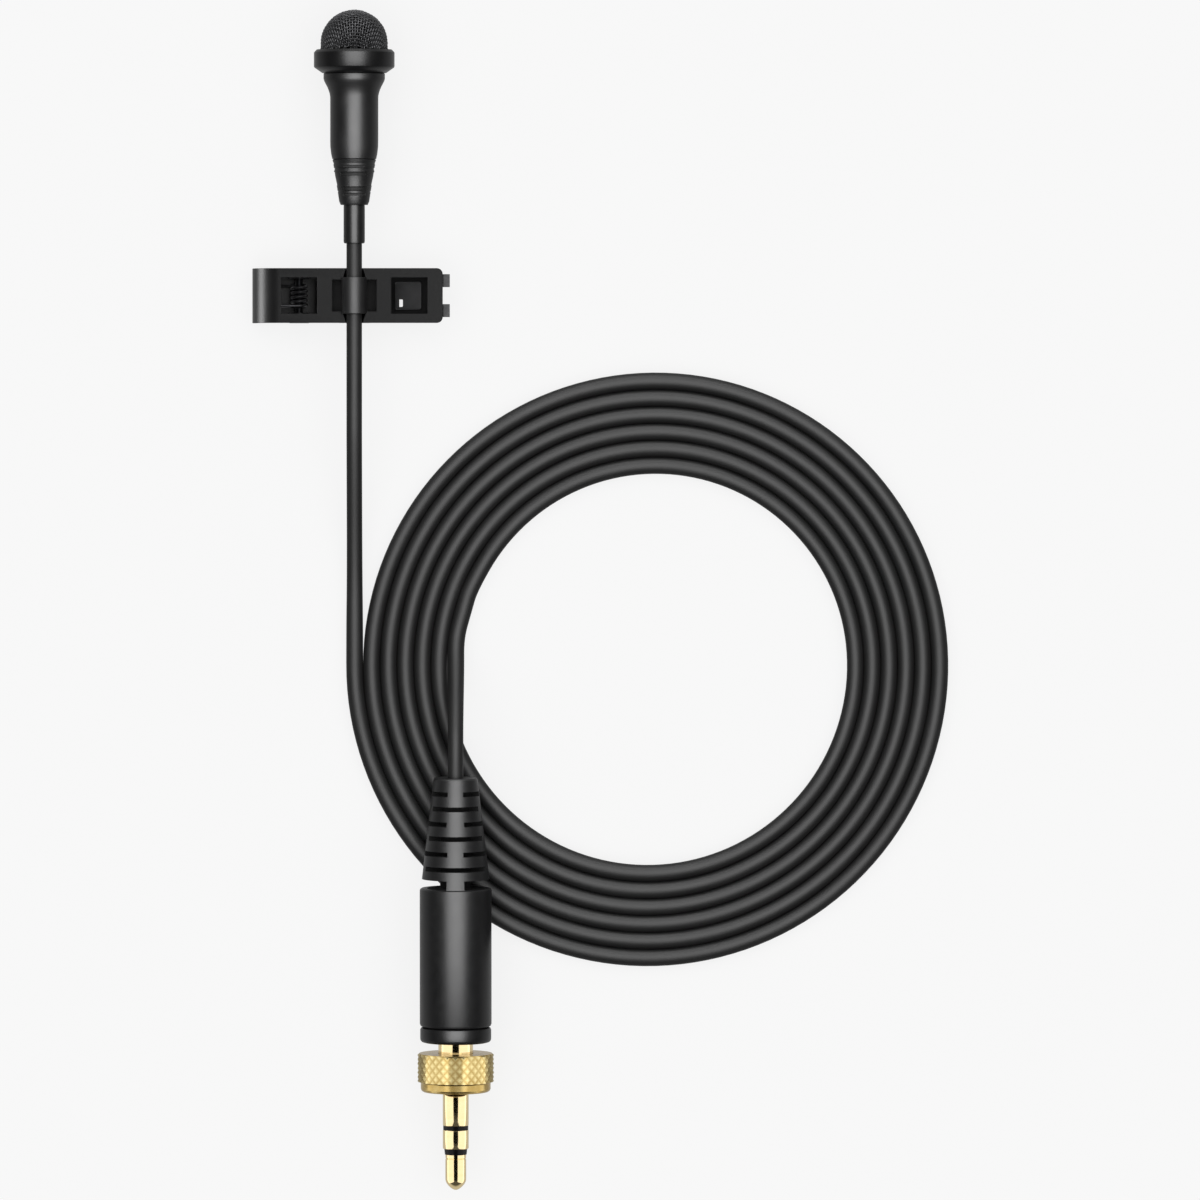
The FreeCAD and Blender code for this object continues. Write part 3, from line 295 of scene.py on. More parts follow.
uneven_weave = random.Random(4)
weave = bpy.data.curves.new("windshield_weave", "CURVE")
weave.dimensions = "3D"
weave.resolution_u = 2
weave.bevel_depth = mesh_wire_radius * MM
weave.bevel_resolution = 1
weave.use_fill_caps = True
wires_each_side = int(skirt_reach / mesh_pitch)
for direction in (0, 1):
    for row in range(-wires_each_side, wires_each_side + 1):
        offset = (row + 0.5) * mesh_pitch
        crossings = int(math.sqrt(max(0.0, skirt_reach ** 2 - offset ** 2)) / mesh_pitch)
        if crossings < 2:
            continue
        wire = weave.splines.new("NURBS")
        wire.points.add(2 * crossings - 1)
        for column, point in zip(range(-crossings, crossings), wire.points):
            along = (column + 0.5) * mesh_pitch
            lift = mesh_wire_radius * (1 if (row + column + direction) % 2 else -1)
            spot = on_dome(offset, along, lift) if direction == 0 else on_dome(along, offset, lift)
            point.co = (*(mic_place @ Vector(spot)), 1.0)
            point.radius = uneven_weave.uniform(least_wire_uneven, most_wire_uneven)
        wire.order_u = 3
        wire.use_endpoint_u = True
windshield_weave = bpy.data.objects.new("windshield_weave", weave)
bpy.context.scene.collection.objects.link(windshield_weave)

# black-oxide steel wire: drawn and blackened, so each wire has a thin bright line and uneven darkness
black_wire, tree = empty_material("black_oxide_steel_wire")
place = add_node(tree, "ShaderNodeTexCoord").outputs["Object"]
uneven = add_node(tree, "ShaderNodeTexNoise", {"Vector": place, "Scale": 900.0, "Detail": 4.0, "Roughness": 0.7})
colours = add_node(tree, "ShaderNodeMix", {
    "Factor": uneven.outputs["Fac"], "A": linear("#131314"), "B": linear("#5c5c5e")}, data_type="RGBA")
gloss = add_node(tree, "ShaderNodeMapRange", {"Value": uneven.outputs["Fac"], "To Min": 0.25, "To Max": 0.45})
surface = add_node(tree, "ShaderNodeBsdfPrincipled", {
    "Base Color": colours.outputs["Result"], "Metallic": 0.7, "Roughness": gloss.outputs["Result"]})
add_node(tree, "ShaderNodeOutputMaterial", {"Surface": surface.outputs["BSDF"]})
weave.materials.append(black_wire)
mesh_pieces.objects.link(windshield_weave)
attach(windshield_weave, "windshield")
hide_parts("windshield_mesh")

# ---------------------------------------------------------------------------------------------------------------
# Windshield foam: a reticulated polyurethane pad under the mesh, die-cut and pushed in dry.
def repaint(material, *nodes):
    """Gives CAD nodes this material."""
    for node in nodes:
        for material_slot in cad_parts[node].material_slots:
            material_slot.material = material


# open-cell polyether foam: cells of about 0.3 mm, black all through, no shine
foam, tree = empty_material("open_cell_foam")
place = add_node(tree, "ShaderNodeTexCoord").outputs["Object"]
cells = add_node(tree, "ShaderNodeTexVoronoi", {"Vector": place, "Scale": 3300.0})
colours = add_node(tree, "ShaderNodeMix", {
    "Factor": cells.outputs["Distance"], "A": linear("#050505"), "B": linear("#242424")}, data_type="RGBA")
bumps = add_node(tree, "ShaderNodeBump", {
    "Strength": 0.8, "Distance": 0.0001, "Height": cells.outputs["Distance"]})
surface = add_node(tree, "ShaderNodeBsdfPrincipled", {
    "Base Color": colours.outputs["Result"], "Normal": bumps.outputs["Normal"], "Roughness": 0.95,
    "Specular IOR Level": 0.1})
add_node(tree, "ShaderNodeOutputMaterial", {"Surface": surface.outputs["BSDF"]})
repaint(foam, "windshield_foam")

# ---------------------------------------------------------------------------------------------------------------
# Windshield collar: a ring turned from aluminium with a broken front edge and a chamfer at the back. It is
# painted satin black and pushes over the microphone's spigot.
def turn(outline, steps=96):
    """A bmesh turned about Y from (radius, station) corners in millimetres; stations run along the cable."""
    turned = bmesh.new()
    corners = [turned.verts.new((radius, -station, 0)) for radius, station in outline]
    edges = [turned.edges.new(pair) for pair in zip(corners, corners[1:])]
    bmesh.ops.spin(turned, geom=corners + edges, cent=(0, 0, 0), axis=(0, 1, 0), angle=math.tau, steps=steps,
                   use_merge=True)
    bmesh.ops.remove_doubles(turned, verts=turned.verts, dist=0.0005)
    bmesh.ops.recalc_face_normals(turned, faces=turned.faces)
    return turned


def make_piece(name, shape, place, material, slot, body, stands_for=(), rounding=0.0, sharp=35, second=None):
    """Puts a finished bmesh in its place as a piece that rides on a body and stands for CAD nodes."""
    shape.transform(place)
    for face in shape.faces:
        face.smooth = True
    for edge in shape.edges:
        edge.smooth = edge.calc_face_angle(0) < math.radians(sharp)
    piece = bpy.data.objects.new(name, bpy.data.meshes.new(name))
    shape.to_mesh(piece.data)
    shape.free()
    piece.data.materials.append(material)
    if second:
        piece.data.materials.append(second)
    bpy.context.scene.collection.objects.link(piece)
    side_lit = {"gold": gold_pieces, "black_insulator": gold_pieces, "clip_black": clip_pieces}
    side_lit.get(slot, black_pieces).objects.link(piece)
    if rounding:
        bevel = piece.modifiers.new("rounded_edges", "BEVEL")
        bevel.width = rounding * MM
        bevel.segments = 2
        bevel.limit_method = "ANGLE"
        bevel.angle_limit = math.radians(sharp)
        bevel.harden_normals = True
    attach(piece, body)
    if stands_for:
        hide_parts(*stands_for)
    return piece


def grained_finish(name, dark, light, roughness, grain_mm, grain_depth_mm, patch_mm, gloss_spread=0.06, ior=1.34):
    """Paint, plastic or anodise: clouds of two near colours and roughnesses, over a fine grain."""
    material, tree = empty_material(name)
    place = add_node(tree, "ShaderNodeTexCoord").outputs["Object"]
    clouds = add_node(tree, "ShaderNodeTexNoise", {"Vector": place, "Scale": 1000 / patch_mm, "Detail": 3.0})
    grain = add_node(tree, "ShaderNodeTexNoise", {"Vector": place, "Scale": 1000 / grain_mm, "Detail": 2.0})
    colours = add_node(tree, "ShaderNodeMix", {
        "Factor": clouds.outputs["Fac"], "A": linear(dark), "B": linear(light)}, data_type="RGBA")
    gloss = add_node(tree, "ShaderNodeMapRange", {
        "Value": clouds.outputs["Fac"], "To Min": roughness - gloss_spread, "To Max": roughness + gloss_spread})
    bumps = add_node(tree, "ShaderNodeBump", {
        "Strength": 0.35, "Distance": grain_depth_mm * MM, "Height": grain.outputs["Fac"]})
    surface = add_node(tree, "ShaderNodeBsdfPrincipled", {
        "Base Color": colours.outputs["Result"], "Roughness": gloss.outputs["Result"],
        "Normal": bumps.outputs["Normal"], "IOR": ior})
    add_node(tree, "ShaderNodeOutputMaterial", {"Surface": surface.outputs["BSDF"]})
    return material


# satin spray paint on turned aluminium: smooth, a soft clean highlight, faint orange peel
satin_paint = grained_finish("satin_black_spray_paint", "#0a0a0b", "#111112", 0.33, 0.22, 0.02, 3.0, ior=1.30)
collar = turn([
    (4.56, 5.40), (5.08, 5.40), (5.45, 5.80), (5.45, 7.72), (5.36, 7.86), (4.33, 8.58), (3.66, 8.58), (3.66, 6.40),
    (4.56, 6.40), (4.56, 5.40)])
make_piece("windshield_collar_ring", collar, mic_place, satin_paint, "black_metal", "windshield",
           ["windshield_collar"], rounding=0.06)

# ---------------------------------------------------------------------------------------------------------------
# Microphone housing: one brass tube, turned with a neck that sweeps in to the slim body, and painted like the
# collar but a little duller. The capsule is pressed into its front, behind the collar.
housing_paint = grained_finish("satin_black_housing_paint", "#0c0c0d", "#131314", 0.40, 0.18, 0.02, 2.0, ior=1.37)
housing = turn([
    (2.42, 5.60), (3.60, 5.60), (3.60, 8.63), (4.09, 8.63), (4.15, 8.74), (4.15, 9.36), (4.06, 9.66), (3.90, 9.98),
    (3.66, 10.44), (3.48, 10.86), (3.34, 11.30), (3.27, 11.66), (3.25, 12.00), (3.25, 17.80), (3.23, 18.60),
    (3.12, 19.50), (2.97, 20.20), (1.91, 20.20), (1.91, 17.68), (1.55, 17.68), (1.55, 10.60), (2.42, 10.60),
    (2.42, 5.60)])
make_piece("microphone_body", housing, mic_place, housing_paint, "black_metal", "microphone", ["mic_housing"],
           rounding=0.05, sharp=40)

# ---------------------------------------------------------------------------------------------------------------
# Bend relief: a tapered sleeve moulded in soft black PVC and cut with short slots across its face and back, so
# that it bends with the cable. It is glued into the end of the housing.
def sink(shape, floor, chosen):
    """Cuts slots in a turned shape: its chosen outer faces go in to the floor radius, and the faces at the sunk
    corners take the second material, which paints the slots darker as painted shade.
    """
    faces = [face for face in shape.faces if chosen(face.calc_center_median())]
    walls = bmesh.ops.extrude_face_region(shape, geom=faces)
    bmesh.ops.delete(shape, geom=faces, context="FACES")
    for corner in walls["geom"]:
        if isinstance(corner, bmesh.types.BMVert):
            inward = floor / math.hypot(corner.co.x, corner.co.z)
            corner.co.x *= inward
            corner.co.z *= inward
            # painted shade: the slot's walls and floor take the darker second material
            for face in corner.link_faces:
                face.material_index = 1
    bmesh.ops.remove_doubles(shape, verts=shape.verts, dist=0.0005)


relief_start, relief_end = 20.21, 26.40
relief_radius, relief_end_radius = 2.94, 1.95
relief_slots = [            # station, length, half width, depth, how far the lip before it stands up
    (21.10, 0.30, 1.4, 0.14, 0.03), (22.00, 0.50, 1.9, 0.42, 0.09), (23.98, 0.48, 1.7, 0.40, 0.03),
    (24.86, 0.34, 1.5, 0.18, 0.03)]


def relief_surface(station):
    """Radius of the relief's cone at a station."""
    slope = (relief_end_radius - relief_radius) / (relief_end - relief_start)
    return relief_radius + slope * (station - relief_start)


outline = [(1.06, 17.7), (1.88, 17.7), (1.88, relief_start), (relief_surface(relief_start) - 0.12, relief_start)]
outline.append((relief_surface(relief_start), relief_start + 0.15))
for station, length, half_width, depth, lip in relief_slots:
    surface_radius = relief_surface(station)
    outline += [(surface_radius - 0.02, station - 0.17 - lip * 4), (surface_radius + lip, station - 0.04),
                (surface_radius - 0.01, station), (relief_surface(station + length), station + length)]
outline += [(relief_end_radius + 0.08, relief_end - 0.45), (relief_end_radius - 0.12, relief_end),
            (1.06, relief_end), (1.06, 17.7)]
relief = turn(outline)
for station, length, half_width, depth, lip in relief_slots:
    surface_radius = relief_surface(station)
    sink(relief, surface_radius - depth, lambda middle: (
        station < -middle.y < station + length and abs(middle.x) < half_width
        and math.hypot(middle.x, middle.z) > surface_radius - 0.2))
relief_vinyl = grained_finish("moulded_soft_vinyl", "#0c0c0d", "#131314", 0.42, 0.25, 0.03, 1.6)
# painted shade in the slots: a dull near-black for the boot's deep slots and the saddle's flanges, a dark grey for
# the relief's shallower slots
slot_painted_shade = grained_finish("matt_painted_shade_in_slots", "#040404", "#080808", 0.9, 0.2, 0.02, 0.8, gloss_spread=0.04,
                           ior=1.2)
relief_slot_painted_shade = grained_finish("dull_painted_shade_in_slots", "#080808", "#0e0e0f", 0.7, 0.25, 0.02, 1.2, ior=1.3)
make_piece("bend_relief", relief, mic_place, relief_vinyl, "black_rubber", "microphone", ["mic_strain_relief"],
           rounding=0.018, sharp=30, second=relief_slot_painted_shade)

# a short length of heat-shrink tube over the cable where it leaves the relief: thin, shiny, a little wrinkled
shrink_tube = grained_finish("heat_shrink_tube", "#0e0e0e", "#171717", 0.36, 0.9, 0.05, 1.2)
sleeve = turn([(1.06, 26.42), (1.42, 26.42), (1.44, 26.70), (1.44, 31.30), (1.38, 31.55), (1.28, 31.60),
               (1.06, 31.60), (1.06, 26.42)], steps=64)
make_piece("cable_shrink_tube", sleeve, mic_place, shrink_tube, "black_rubber", "microphone", ["cable_sleeve"])

# ---------------------------------------------------------------------------------------------------------------
# Cable clip: a front plate blanked and rolled from sheet steel, a toothed jaw hinged behind it on a pin with a
# torsion spring, and a moulded saddle that holds the cable in the middle window. All of it is black.
def rounded_copy(name, node, material, slot, body, rounding, second=None, cut=None, facing=None):
    """A piece in the shape of a CAD node, with rounded edges; past a cut it may have a second material, which
    paints shade or a lighter colour there.
    """
    copy = bmesh.new()
    copy.from_mesh(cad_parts[node].data)
    bmesh.ops.remove_doubles(copy, verts=copy.verts, dist=0.002 * MM)
    bmesh.ops.dissolve_limit(copy, angle_limit=math.radians(1), verts=copy.verts, edges=copy.edges)
    if second:
        bmesh.ops.bisect_plane(copy, geom=copy.verts[:] + copy.edges[:] + copy.faces[:], dist=0.001 * MM,
                               plane_co=cut, plane_no=facing)
        for face in copy.faces:
            if (face.calc_center_median() - cut).dot(facing) > 0:
                face.material_index = 1
    return make_piece(name, copy, Matrix(), material, slot, body, [node], rounding=rounding, second=second)


plate_low, plate_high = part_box("clip_front_plate")
holder_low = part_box("cable_holder")[0]
mic_axis = mic_place.translation
clip_middle = Vector((mic_axis.x, (plate_low.y + plate_high.y) / 2, mic_axis.z))

# electrophoretic lacquer on tumbled sheet steel: satin, edges soft and slightly brighter where the coat is thin
clip_lacquer = grained_finish("black_lacquered_steel", "#0b0b0c", "#131314", 0.36, 0.35, 0.02, 5.0)
rounded_copy("clip_plate", "clip_front_plate", clip_lacquer, "clip_black", "clip", 0.12)
# painted reflection: the jaw past the plate's end, with its teeth, is painted lighter grey than the rest of the
# lacquer
teeth_painted_lighter = grained_finish("teeth_painted_lighter_grey", "#2c2c2d", "#6a6a6b", 0.4, 0.5, 0.03, 0.7, gloss_spread=0.1)
rounded_copy("clip_jaw", "clip_rear_jaw", clip_lacquer, "clip_black", "jaw", 0.10, second=teeth_painted_lighter,
             cut=Vector((plate_high.x + 0.1 * MM, 0, 0)), facing=Vector((1, 0, 0)))

# the panel pressed up in the jaw behind the right window stiffens it; its peep hole goes through
panel_half, panel_height, panel_corner = 1.9, 0.35, 0.36
panel_place, panel_rise, panel_slope = 7.35, -2.80, 20.8
hole_x, hole_y = (-1.45, -0.78), (-1.5, -0.5)
panel = bmesh.new()
bmesh.ops.create_grid(panel, x_segments=3, y_segments=3, size=1.5)
for corner in panel.verts:
    corner.co.x = (-panel_half, *hole_x, panel_half)[round(corner.co.x + 1.5)]
    corner.co.y = (-panel_half, *hole_y, panel_half)[round(corner.co.y + 1.5)]
hole = [face for face in panel.faces if hole_x[0] < face.calc_center_median().x < hole_x[1]
        and hole_y[0] < face.calc_center_median().y < hole_y[1]]
bmesh.ops.delete(panel, geom=hole, context="FACES")
raised = bmesh.ops.extrude_face_region(panel, geom=panel.faces[:])
bmesh.ops.translate(panel, vec=(0, 0, panel_height),
                    verts=[item for item in raised["geom"] if isinstance(item, bmesh.types.BMVert)])
upright = [edge for edge in panel.edges if all(
    abs(corner.co.x) + abs(corner.co.y) > panel_half * 1.99 for corner in edge.verts)]
bmesh.ops.bevel(panel, geom=upright, offset=panel_corner, affect="EDGES", segments=5, profile=0.5, material=-1)
bmesh.ops.recalc_face_normals(panel, faces=panel.faces)
on_jaw = (Matrix.Translation(clip_middle + Vector((panel_place, 0, panel_rise)) * MM)
          @ Matrix.Rotation(math.radians(-panel_slope), 4, "Y") @ Matrix.Scale(MM, 4))
# painted light: the panel's lacquer is painted lighter grey than the rest of the clip, for the light it catches
# through the window
panel_painted_lighter = grained_finish("lacquer_painted_lighter_on_panel", "#282829", "#3a3a3b", 0.5, 0.35, 0.03, 1.5)
make_piece("clip_jaw_panel", panel, on_jaw, panel_painted_lighter, "clip_black", "jaw", rounding=0.12)

# glass-filled nylon: moulded, faintly mottled by its fibres
saddle_nylon = grained_finish("glass_filled_nylon", "#0a0a0b", "#111112", 0.48, 0.15, 0.02, 0.8)
saddle_base_top = holder_low.z + 1.05 * MM      # below this the flanges are painted dull near-black: painted shade for the window's shade
rounded_copy("cable_saddle", "cable_holder", saddle_nylon, "moulded_black", "clip", 0.07, second=slot_painted_shade,
             cut=Vector((0, 0, saddle_base_top)), facing=Vector((0, 0, -1)))


def bright_metal(name, dark, light, roughness, grain_mm, stretch=(1.0, 1.0, 1.0), gloss_spread=0.05,
                 depth_mm=0.004):
    """A bare or plated metal: fine marks of its making in two tones, stretched along the way it was worked."""
    material, tree = empty_material(name)
    place = add_node(tree, "ShaderNodeTexCoord").outputs["Object"]
    worked = add_node(tree, "ShaderNodeMapping", {"Vector": place, "Scale": stretch})
    marks = add_node(tree, "ShaderNodeTexNoise", {
        "Vector": worked.outputs["Vector"], "Scale": 1000 / grain_mm, "Detail": 3.0})
    colours = add_node(tree, "ShaderNodeMix", {
        "Factor": marks.outputs["Fac"], "A": linear(dark), "B": linear(light)}, data_type="RGBA")
    gloss = add_node(tree, "ShaderNodeMapRange", {
        "Value": marks.outputs["Fac"], "To Min": roughness - gloss_spread, "To Max": roughness + gloss_spread})
    bumps = add_node(tree, "ShaderNodeBump", {
        "Strength": 0.2, "Distance": depth_mm * MM, "Height": marks.outputs["Fac"]})
    surface = add_node(tree, "ShaderNodeBsdfPrincipled", {
        "Base Color": colours.outputs["Result"], "Roughness": gloss.outputs["Result"],
        "Normal": bumps.outputs["Normal"], "Metallic": 1.0})
    add_node(tree, "ShaderNodeOutputMaterial", {"Surface": surface.outputs["BSDF"]})
    return material


# blackened music wire, worn to bare steel where the turns rub
spring_wire = bright_metal("blackened_music_wire", "#141415", "#5c5c5e", 0.38, 0.4)
pin_steel = bright_metal("blackened_hinge_pin", "#101011", "#2c2c2e", 0.42, 0.3)
repaint(spring_wire, "clip_spring_coil", "clip_spring_leg")
repaint(pin_steel, "clip_hinge_pin")
for node in ("clip_spring_coil", "clip_spring_leg", "clip_hinge_pin"):
    clip_pieces.objects.link(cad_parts[node])

# ---------------------------------------------------------------------------------------------------------------
# Plug boot: a tapered sleeve of moulded rubber over the cable. Rings stand on a core and are tied by bars that
# lie by turns on the faces and at the sides; the last and widest gap is next to the barrel.
plug_top = Vector(tail_route[-1])
plug_slope = math.radians(4.128)    # the plug leans on the turns below it, with the nut's rim on the table
plug_place = Matrix.Translation(plug_top) @ Matrix.Rotation(plug_slope, 4, "X") @ Matrix.Scale(MM, 4)
barrel_start = 14.90

boot_radius, boot_base_radius = 2.95, 4.70
boot_core_radius = 2.1
bar_half_width = 1.1
side_bar_half_height = 1.6
web_half_height = 0.35      # flash left at the parting line of the narrow slots
bore_and_socket = 2.5       # faces nearer to the axis than this belong to them
side_gaps = [(1.73, 2.38), (5.76, 6.41), (9.79, 10.44), (13.65, 14.90)]
face_gaps = [(3.72, 4.37), (7.70, 8.35), (11.84, 12.49)]


def boot_surface(station):
    """Radius of the boot's cone at a station."""
    return boot_radius + (boot_base_radius - boot_radius) * station / barrel_start


outline = [(1.06, 0.0), (boot_radius - 0.15, 0.0), (boot_surface(0.2), 0.2)]
for start, end in sorted(side_gaps + face_gaps):
    outline += [(boot_surface(start), start), (boot_surface(end), end)]
outline += [(3.85, barrel_start), (3.85, 16.5), (1.06, 16.5), (1.06, 0.0)]
boot = turn(outline)
for start, end in side_gaps:
    web = 0.0 if (start, end) == side_gaps[-1] else web_half_height
    sink(boot, boot_core_radius, lambda middle: (
        start < -middle.y < end and abs(middle.x) > bar_half_width and abs(middle.z) > web
        and math.hypot(middle.x, middle.z) > bore_and_socket))
for start, end in face_gaps:
    sink(boot, boot_core_radius, lambda middle: (
        start < -middle.y < end and abs(middle.z) > side_bar_half_height
        and math.hypot(middle.x, middle.z) > bore_and_socket))
boot_rubber = grained_finish("moulded_boot_rubber", "#0e0e0f", "#151516", 0.42, 0.2, 0.03, 2.5)
make_piece("bend_boot", boot, plug_place, boot_rubber, "black_rubber", "microphone", ["plug_boot"], sharp=30,
           second=slot_painted_shade)

# ---------------------------------------------------------------------------------------------------------------
# Plug barrel: a tube of aluminium, bead-blasted and anodised black, over the soldered end of the cable, with a
# separate end ring that holds the jack. A fine joint shows between them.
blasted_anodise = grained_finish("bead_blasted_black_anodise", "#0d0d0e", "#141415", 0.38, 0.12, 0.03, 1.2)
barrel = turn([
    (3.90, 14.92), (4.62, 14.92), (4.80, 15.05), (4.85, 15.25), (4.85, 33.25), (4.74, 33.55), (4.50, 33.68),
    (3.90, 33.68), (3.90, 14.92)], steps=128)
make_piece("barrel_shell", barrel, plug_place, blasted_anodise, "black_metal", "microphone", ["plug_barrel"])

end_ring_anodise = grained_finish("turned_black_anodise", "#0b0b0c", "#121213", 0.36, 0.2, 0.02, 1.5)
end_ring = turn([
    (2.40, 33.72), (4.46, 33.72), (4.70, 33.86), (4.80, 34.08), (4.80, 35.30), (4.74, 35.55), (4.58, 35.72),
    (4.30, 35.80), (2.40, 35.80), (2.40, 33.72)], steps=128)
make_piece("barrel_end_ring", end_ring, plug_place, end_ring_anodise, "black_metal", "microphone",
           ["plug_end_ring"])

# ---------------------------------------------------------------------------------------------------------------
# Lock nut: brass, rolled with a diamond knurl, gold plated. It turns on the jack's neck and screws the plug to
# the transmitter. Plating and handling have blunted the knurl's points.
nut_knurl_start, nut_knurl_row, nut_knurl_rows, nut_columns = 37.52, 0.60, 6, 56
nut_radius, knurl_depth = 5.175, 0.26
near = 0.1                  # in millimetres of radius, or in rows
outline = [(2.42, 37.30), (nut_radius - 0.25, 37.30)]
outline += [(nut_radius, nut_knurl_start + row * nut_knurl_row) for row in range(nut_knurl_rows + 1)]
outline += [(4.78, 41.22), (4.72, 41.34), (4.72, 42.12), (4.62, 42.34), (4.40, 42.50), (3.95, 42.50),
            (3.90, 38.95), (2.42, 38.95), (2.42, 37.30)]
nut = turn(outline, steps=nut_columns)
knurl_end = nut_knurl_start + nut_knurl_rows * nut_knurl_row
knurled = [face for face in nut.faces if nut_knurl_start < -face.calc_center_median().y < knurl_end
           and math.hypot(face.calc_center_median().x, face.calc_center_median().z) > nut_radius - near]
bmesh.ops.poke(nut, faces=knurled)
for corner in nut.verts:
    row = (-corner.co.y - nut_knurl_start) / nut_knurl_row
    column = math.atan2(corner.co.z, corner.co.x) / math.tau * nut_columns
    radius = math.hypot(corner.co.x, corner.co.z)
    if radius < nut_radius - near or not -near < row < nut_knurl_rows + near:
        continue
    on_point = abs(row - round(row)) < near and (round(row) + round(column)) % 2 == 0
    inward = (nut_radius - (0.0 if on_point else knurl_depth)) / radius
    corner.co.x *= inward
    corner.co.z *= inward

# gold over knurled brass: pale gold on the points and darker, browner valleys, which is painted shade by depth,
# mixed with random wear; the depth of a point in the knurl is its distance from the plug's axis
knurl_gold_with_painted_shade, tree = empty_material("gold_knurl_with_painted_shade")
place = add_node(tree, "ShaderNodeTexCoord").outputs["Object"]
on_axis = add_node(tree, "ShaderNodeMapping", {
    "Vector": place, "Location": plug_top, "Rotation": (plug_slope, 0.0, 0.0)},
    vector_type="TEXTURE")
across = add_node(tree, "ShaderNodeVectorMath", {0: on_axis.outputs["Vector"], 1: (1.0, 0.0, 1.0)},
                  operation="MULTIPLY")
off_axis = add_node(tree, "ShaderNodeVectorMath", {0: across.outputs["Vector"]}, operation="LENGTH")
# painted shade: the deeper a point lies in the knurl, the darker and browner it is painted
height = add_node(tree, "ShaderNodeMapRange", {
    "Value": off_axis.outputs["Value"], "From Min": (nut_radius - knurl_depth) * MM, "From Max": nut_radius * MM})
wear = add_node(tree, "ShaderNodeTexNoise", {"Vector": place, "Scale": 900.0, "Detail": 4.0})
wear_and_painted_shade = add_node(tree, "ShaderNodeMix", {
    "Factor": 0.45, "A": height.outputs["Result"], "B": wear.outputs["Fac"]})
colours = add_node(tree, "ShaderNodeMix", {
    "Factor": wear_and_painted_shade.outputs["Result"], "A": linear("#987424"), "B": linear("#fff0b4")}, data_type="RGBA")
gloss = add_node(tree, "ShaderNodeMapRange", {"Value": wear.outputs["Fac"], "To Min": 0.12, "To Max": 0.34})
bumps = add_node(tree, "ShaderNodeBump", {"Strength": 0.3, "Distance": 0.00003, "Height": wear.outputs["Fac"]})
surface = add_node(tree, "ShaderNodeBsdfPrincipled", {
    "Base Color": colours.outputs["Result"], "Roughness": gloss.outputs["Result"],
    "Normal": bumps.outputs["Normal"], "Metallic": 1.0})
add_node(tree, "ShaderNodeOutputMaterial", {"Surface": surface.outputs["BSDF"]})
knurled_nut = make_piece("knurled_nut", nut, plug_place, knurl_gold_with_painted_shade, "gold", "nut", ["lock_nut"], sharp=18)
knurled_pieces.objects.link(knurled_nut)

# ---------------------------------------------------------------------------------------------------------------
# Jack: a 3.5 mm three-contact plug turned from brass, gold plated and polished. Black nylon rings keep the
# sleeve, the ring and the tip apart; each is moulded a hair below the metal.
polished_gold = bright_metal("polished_gold_plate", "#f0d7a0", "#f8e4b6", 0.09, 0.5, stretch=(0.2, 1.0, 0.2),
                             gloss_spread=0.03, depth_mm=0.002)
contact_nylon = grained_finish("contact_insulator_nylon", "#050304", "#0b0809", 0.3, 0.2, 0.01, 1.0, ior=1.25)
jack_radius = 1.75
tip_radius = 1.41
jack_pieces = [
    ("jack_neck_and_sleeve", "jack_sleeve", polished_gold, "gold", [
        (1.31, 33.95), (2.35, 33.95), (2.35, 38.60), (2.05, 38.60), (2.05, 39.05), (2.35, 39.05), (2.35, 42.35),
        (2.20, 42.50), (jack_radius - 0.06, 42.50), (jack_radius, 42.62), (jack_radius, 47.02),
        (jack_radius - 0.06, 47.10), (1.31, 47.10), (1.31, 33.95)]),
    ("jack_rear_insulator", "jack_insulator_rear", contact_nylon, "black_insulator", [
        (1.05, 47.11), (jack_radius - 0.05, 47.11), (jack_radius - 0.05, 47.69), (1.05, 47.69), (1.05, 47.11)]),
    ("jack_ring_contact", "jack_ring", polished_gold, "gold", [
        (0.71, 47.70), (jack_radius - 0.06, 47.70), (jack_radius, 47.78), (jack_radius, 50.16),
        (jack_radius - 0.06, 50.24), (0.71, 50.24), (0.71, 47.70)]),
    ("jack_front_insulator", "jack_insulator_front", contact_nylon, "black_insulator", [
        (0.41, 50.25), (1.56, 50.25), (1.48, 51.03), (0.41, 51.03), (0.41, 50.25)]),
    ("jack_tip_contact", "jack_tip", polished_gold, "gold", [
        (0.0, 51.04), (1.38, 51.04), (1.40, 51.12), (1.40, 51.48), (1.33, 51.54), (1.33, 51.60), (1.40, 51.66),
        (tip_radius, 51.90), (tip_radius, 54.40), (1.36, 54.70), (1.22, 54.98), (1.00, 55.26), (0.74, 55.52),
        (0.50, 55.70), (0.25, 55.83), (0.0, 55.88)]),
]
for name, node, material, slot, outline in jack_pieces:
    make_piece(name, turn(outline, steps=128), plug_place, material, slot, "microphone", [node], sharp=40)
repaint(polished_gold, "nut_retaining_ring")

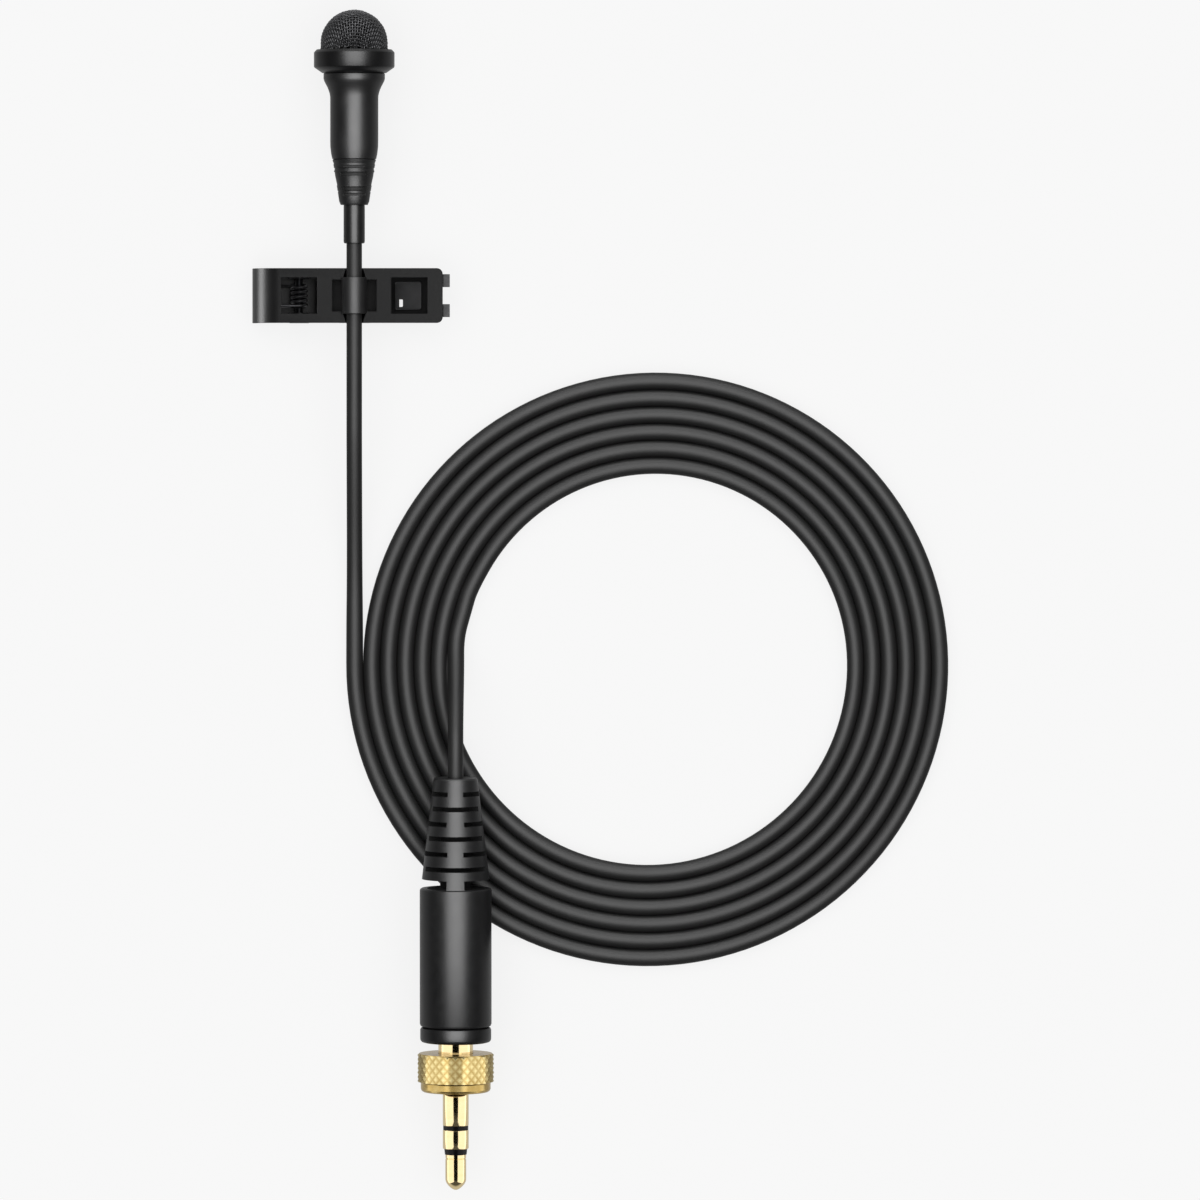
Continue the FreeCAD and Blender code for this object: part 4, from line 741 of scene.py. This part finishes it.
# the plug hangs on the cable, so all of its pieces go where the end of the cord goes
plug_pieces = ["bend_boot", "barrel_shell", "barrel_end_ring", "knurled_nut", "nut_retaining_ring", "plug_liner",
               "plug_cable_end", "cable_clamp", "solder_lug_ring", "solder_lug_tip", "plug_wires"]
plug_pieces += [name for name, node, material, slot, outline in jack_pieces]

# ---------------------------------------------------------------------------------------------------------------
# Inside the microphone: an electret capsule in a drawn can, with its ring and film, backplate, holder, board and
# rubber seal, and two insulated conductors soldered to the board. None of it shows while the windshield is on.
drawn_can = bright_metal("drawn_nickel_silver", "#9a9a98", "#c6c6c2", 0.25, 0.4, stretch=(1.0, 0.15, 1.0))
backplate_brass = bright_metal("lapped_brass", "#a88a4c", "#c9ab66", 0.3, 0.2)
solder_tin = bright_metal("tinned_copper", "#a2a19c", "#cfcdc6", 0.32, 0.25)
mylar = bright_metal("gold_sputtered_mylar", "#a98d4a", "#d8bd74", 0.18, 1.2)
cream_acetal = grained_finish("natural_acetal", "#cfc7b4", "#ded8c8", 0.45, 0.3, 0.02, 1.5)
solder_mask = grained_finish("green_solder_mask", "#0f4a26", "#1a6a38", 0.3, 0.4, 0.02, 0.8)
seal_rubber = grained_finish("silicone_seal", "#2b2b2d", "#3a3a3c", 0.6, 0.3, 0.03, 0.8)
red_insulation = grained_finish("red_wire_insulation", "#8e1714", "#b02320", 0.42, 0.3, 0.02, 1.0)
repaint(drawn_can, "capsule_case", "diaphragm_ring")
repaint(mylar, "diaphragm")
repaint(backplate_brass, "backplate")
repaint(cream_acetal, "backplate_holder")
repaint(solder_mask, "capsule_board")
repaint(seal_rubber, "capsule_seal")
repaint(red_insulation, "microphone_wires", "plug_wires")

# ---------------------------------------------------------------------------------------------------------------
# Inside the plug: the stripped cable end in its crimped clamp, the two solder lugs and the paper liner that
# keeps them off the barrel. The barrel and the boot hide all of it.
pressboard = grained_finish("fishpaper_liner", "#b9ad92", "#cbbfa4", 0.8, 0.15, 0.03, 1.0)
repaint(pressboard, "plug_liner")
repaint(cable_jacket, "plug_cable_end")
repaint(solder_tin, "solder_lug_ring", "solder_lug_tip")
repaint(bright_metal("nickel_plated_clamp", "#8f8f8c", "#bdbdb8", 0.3, 0.5), "cable_clamp")
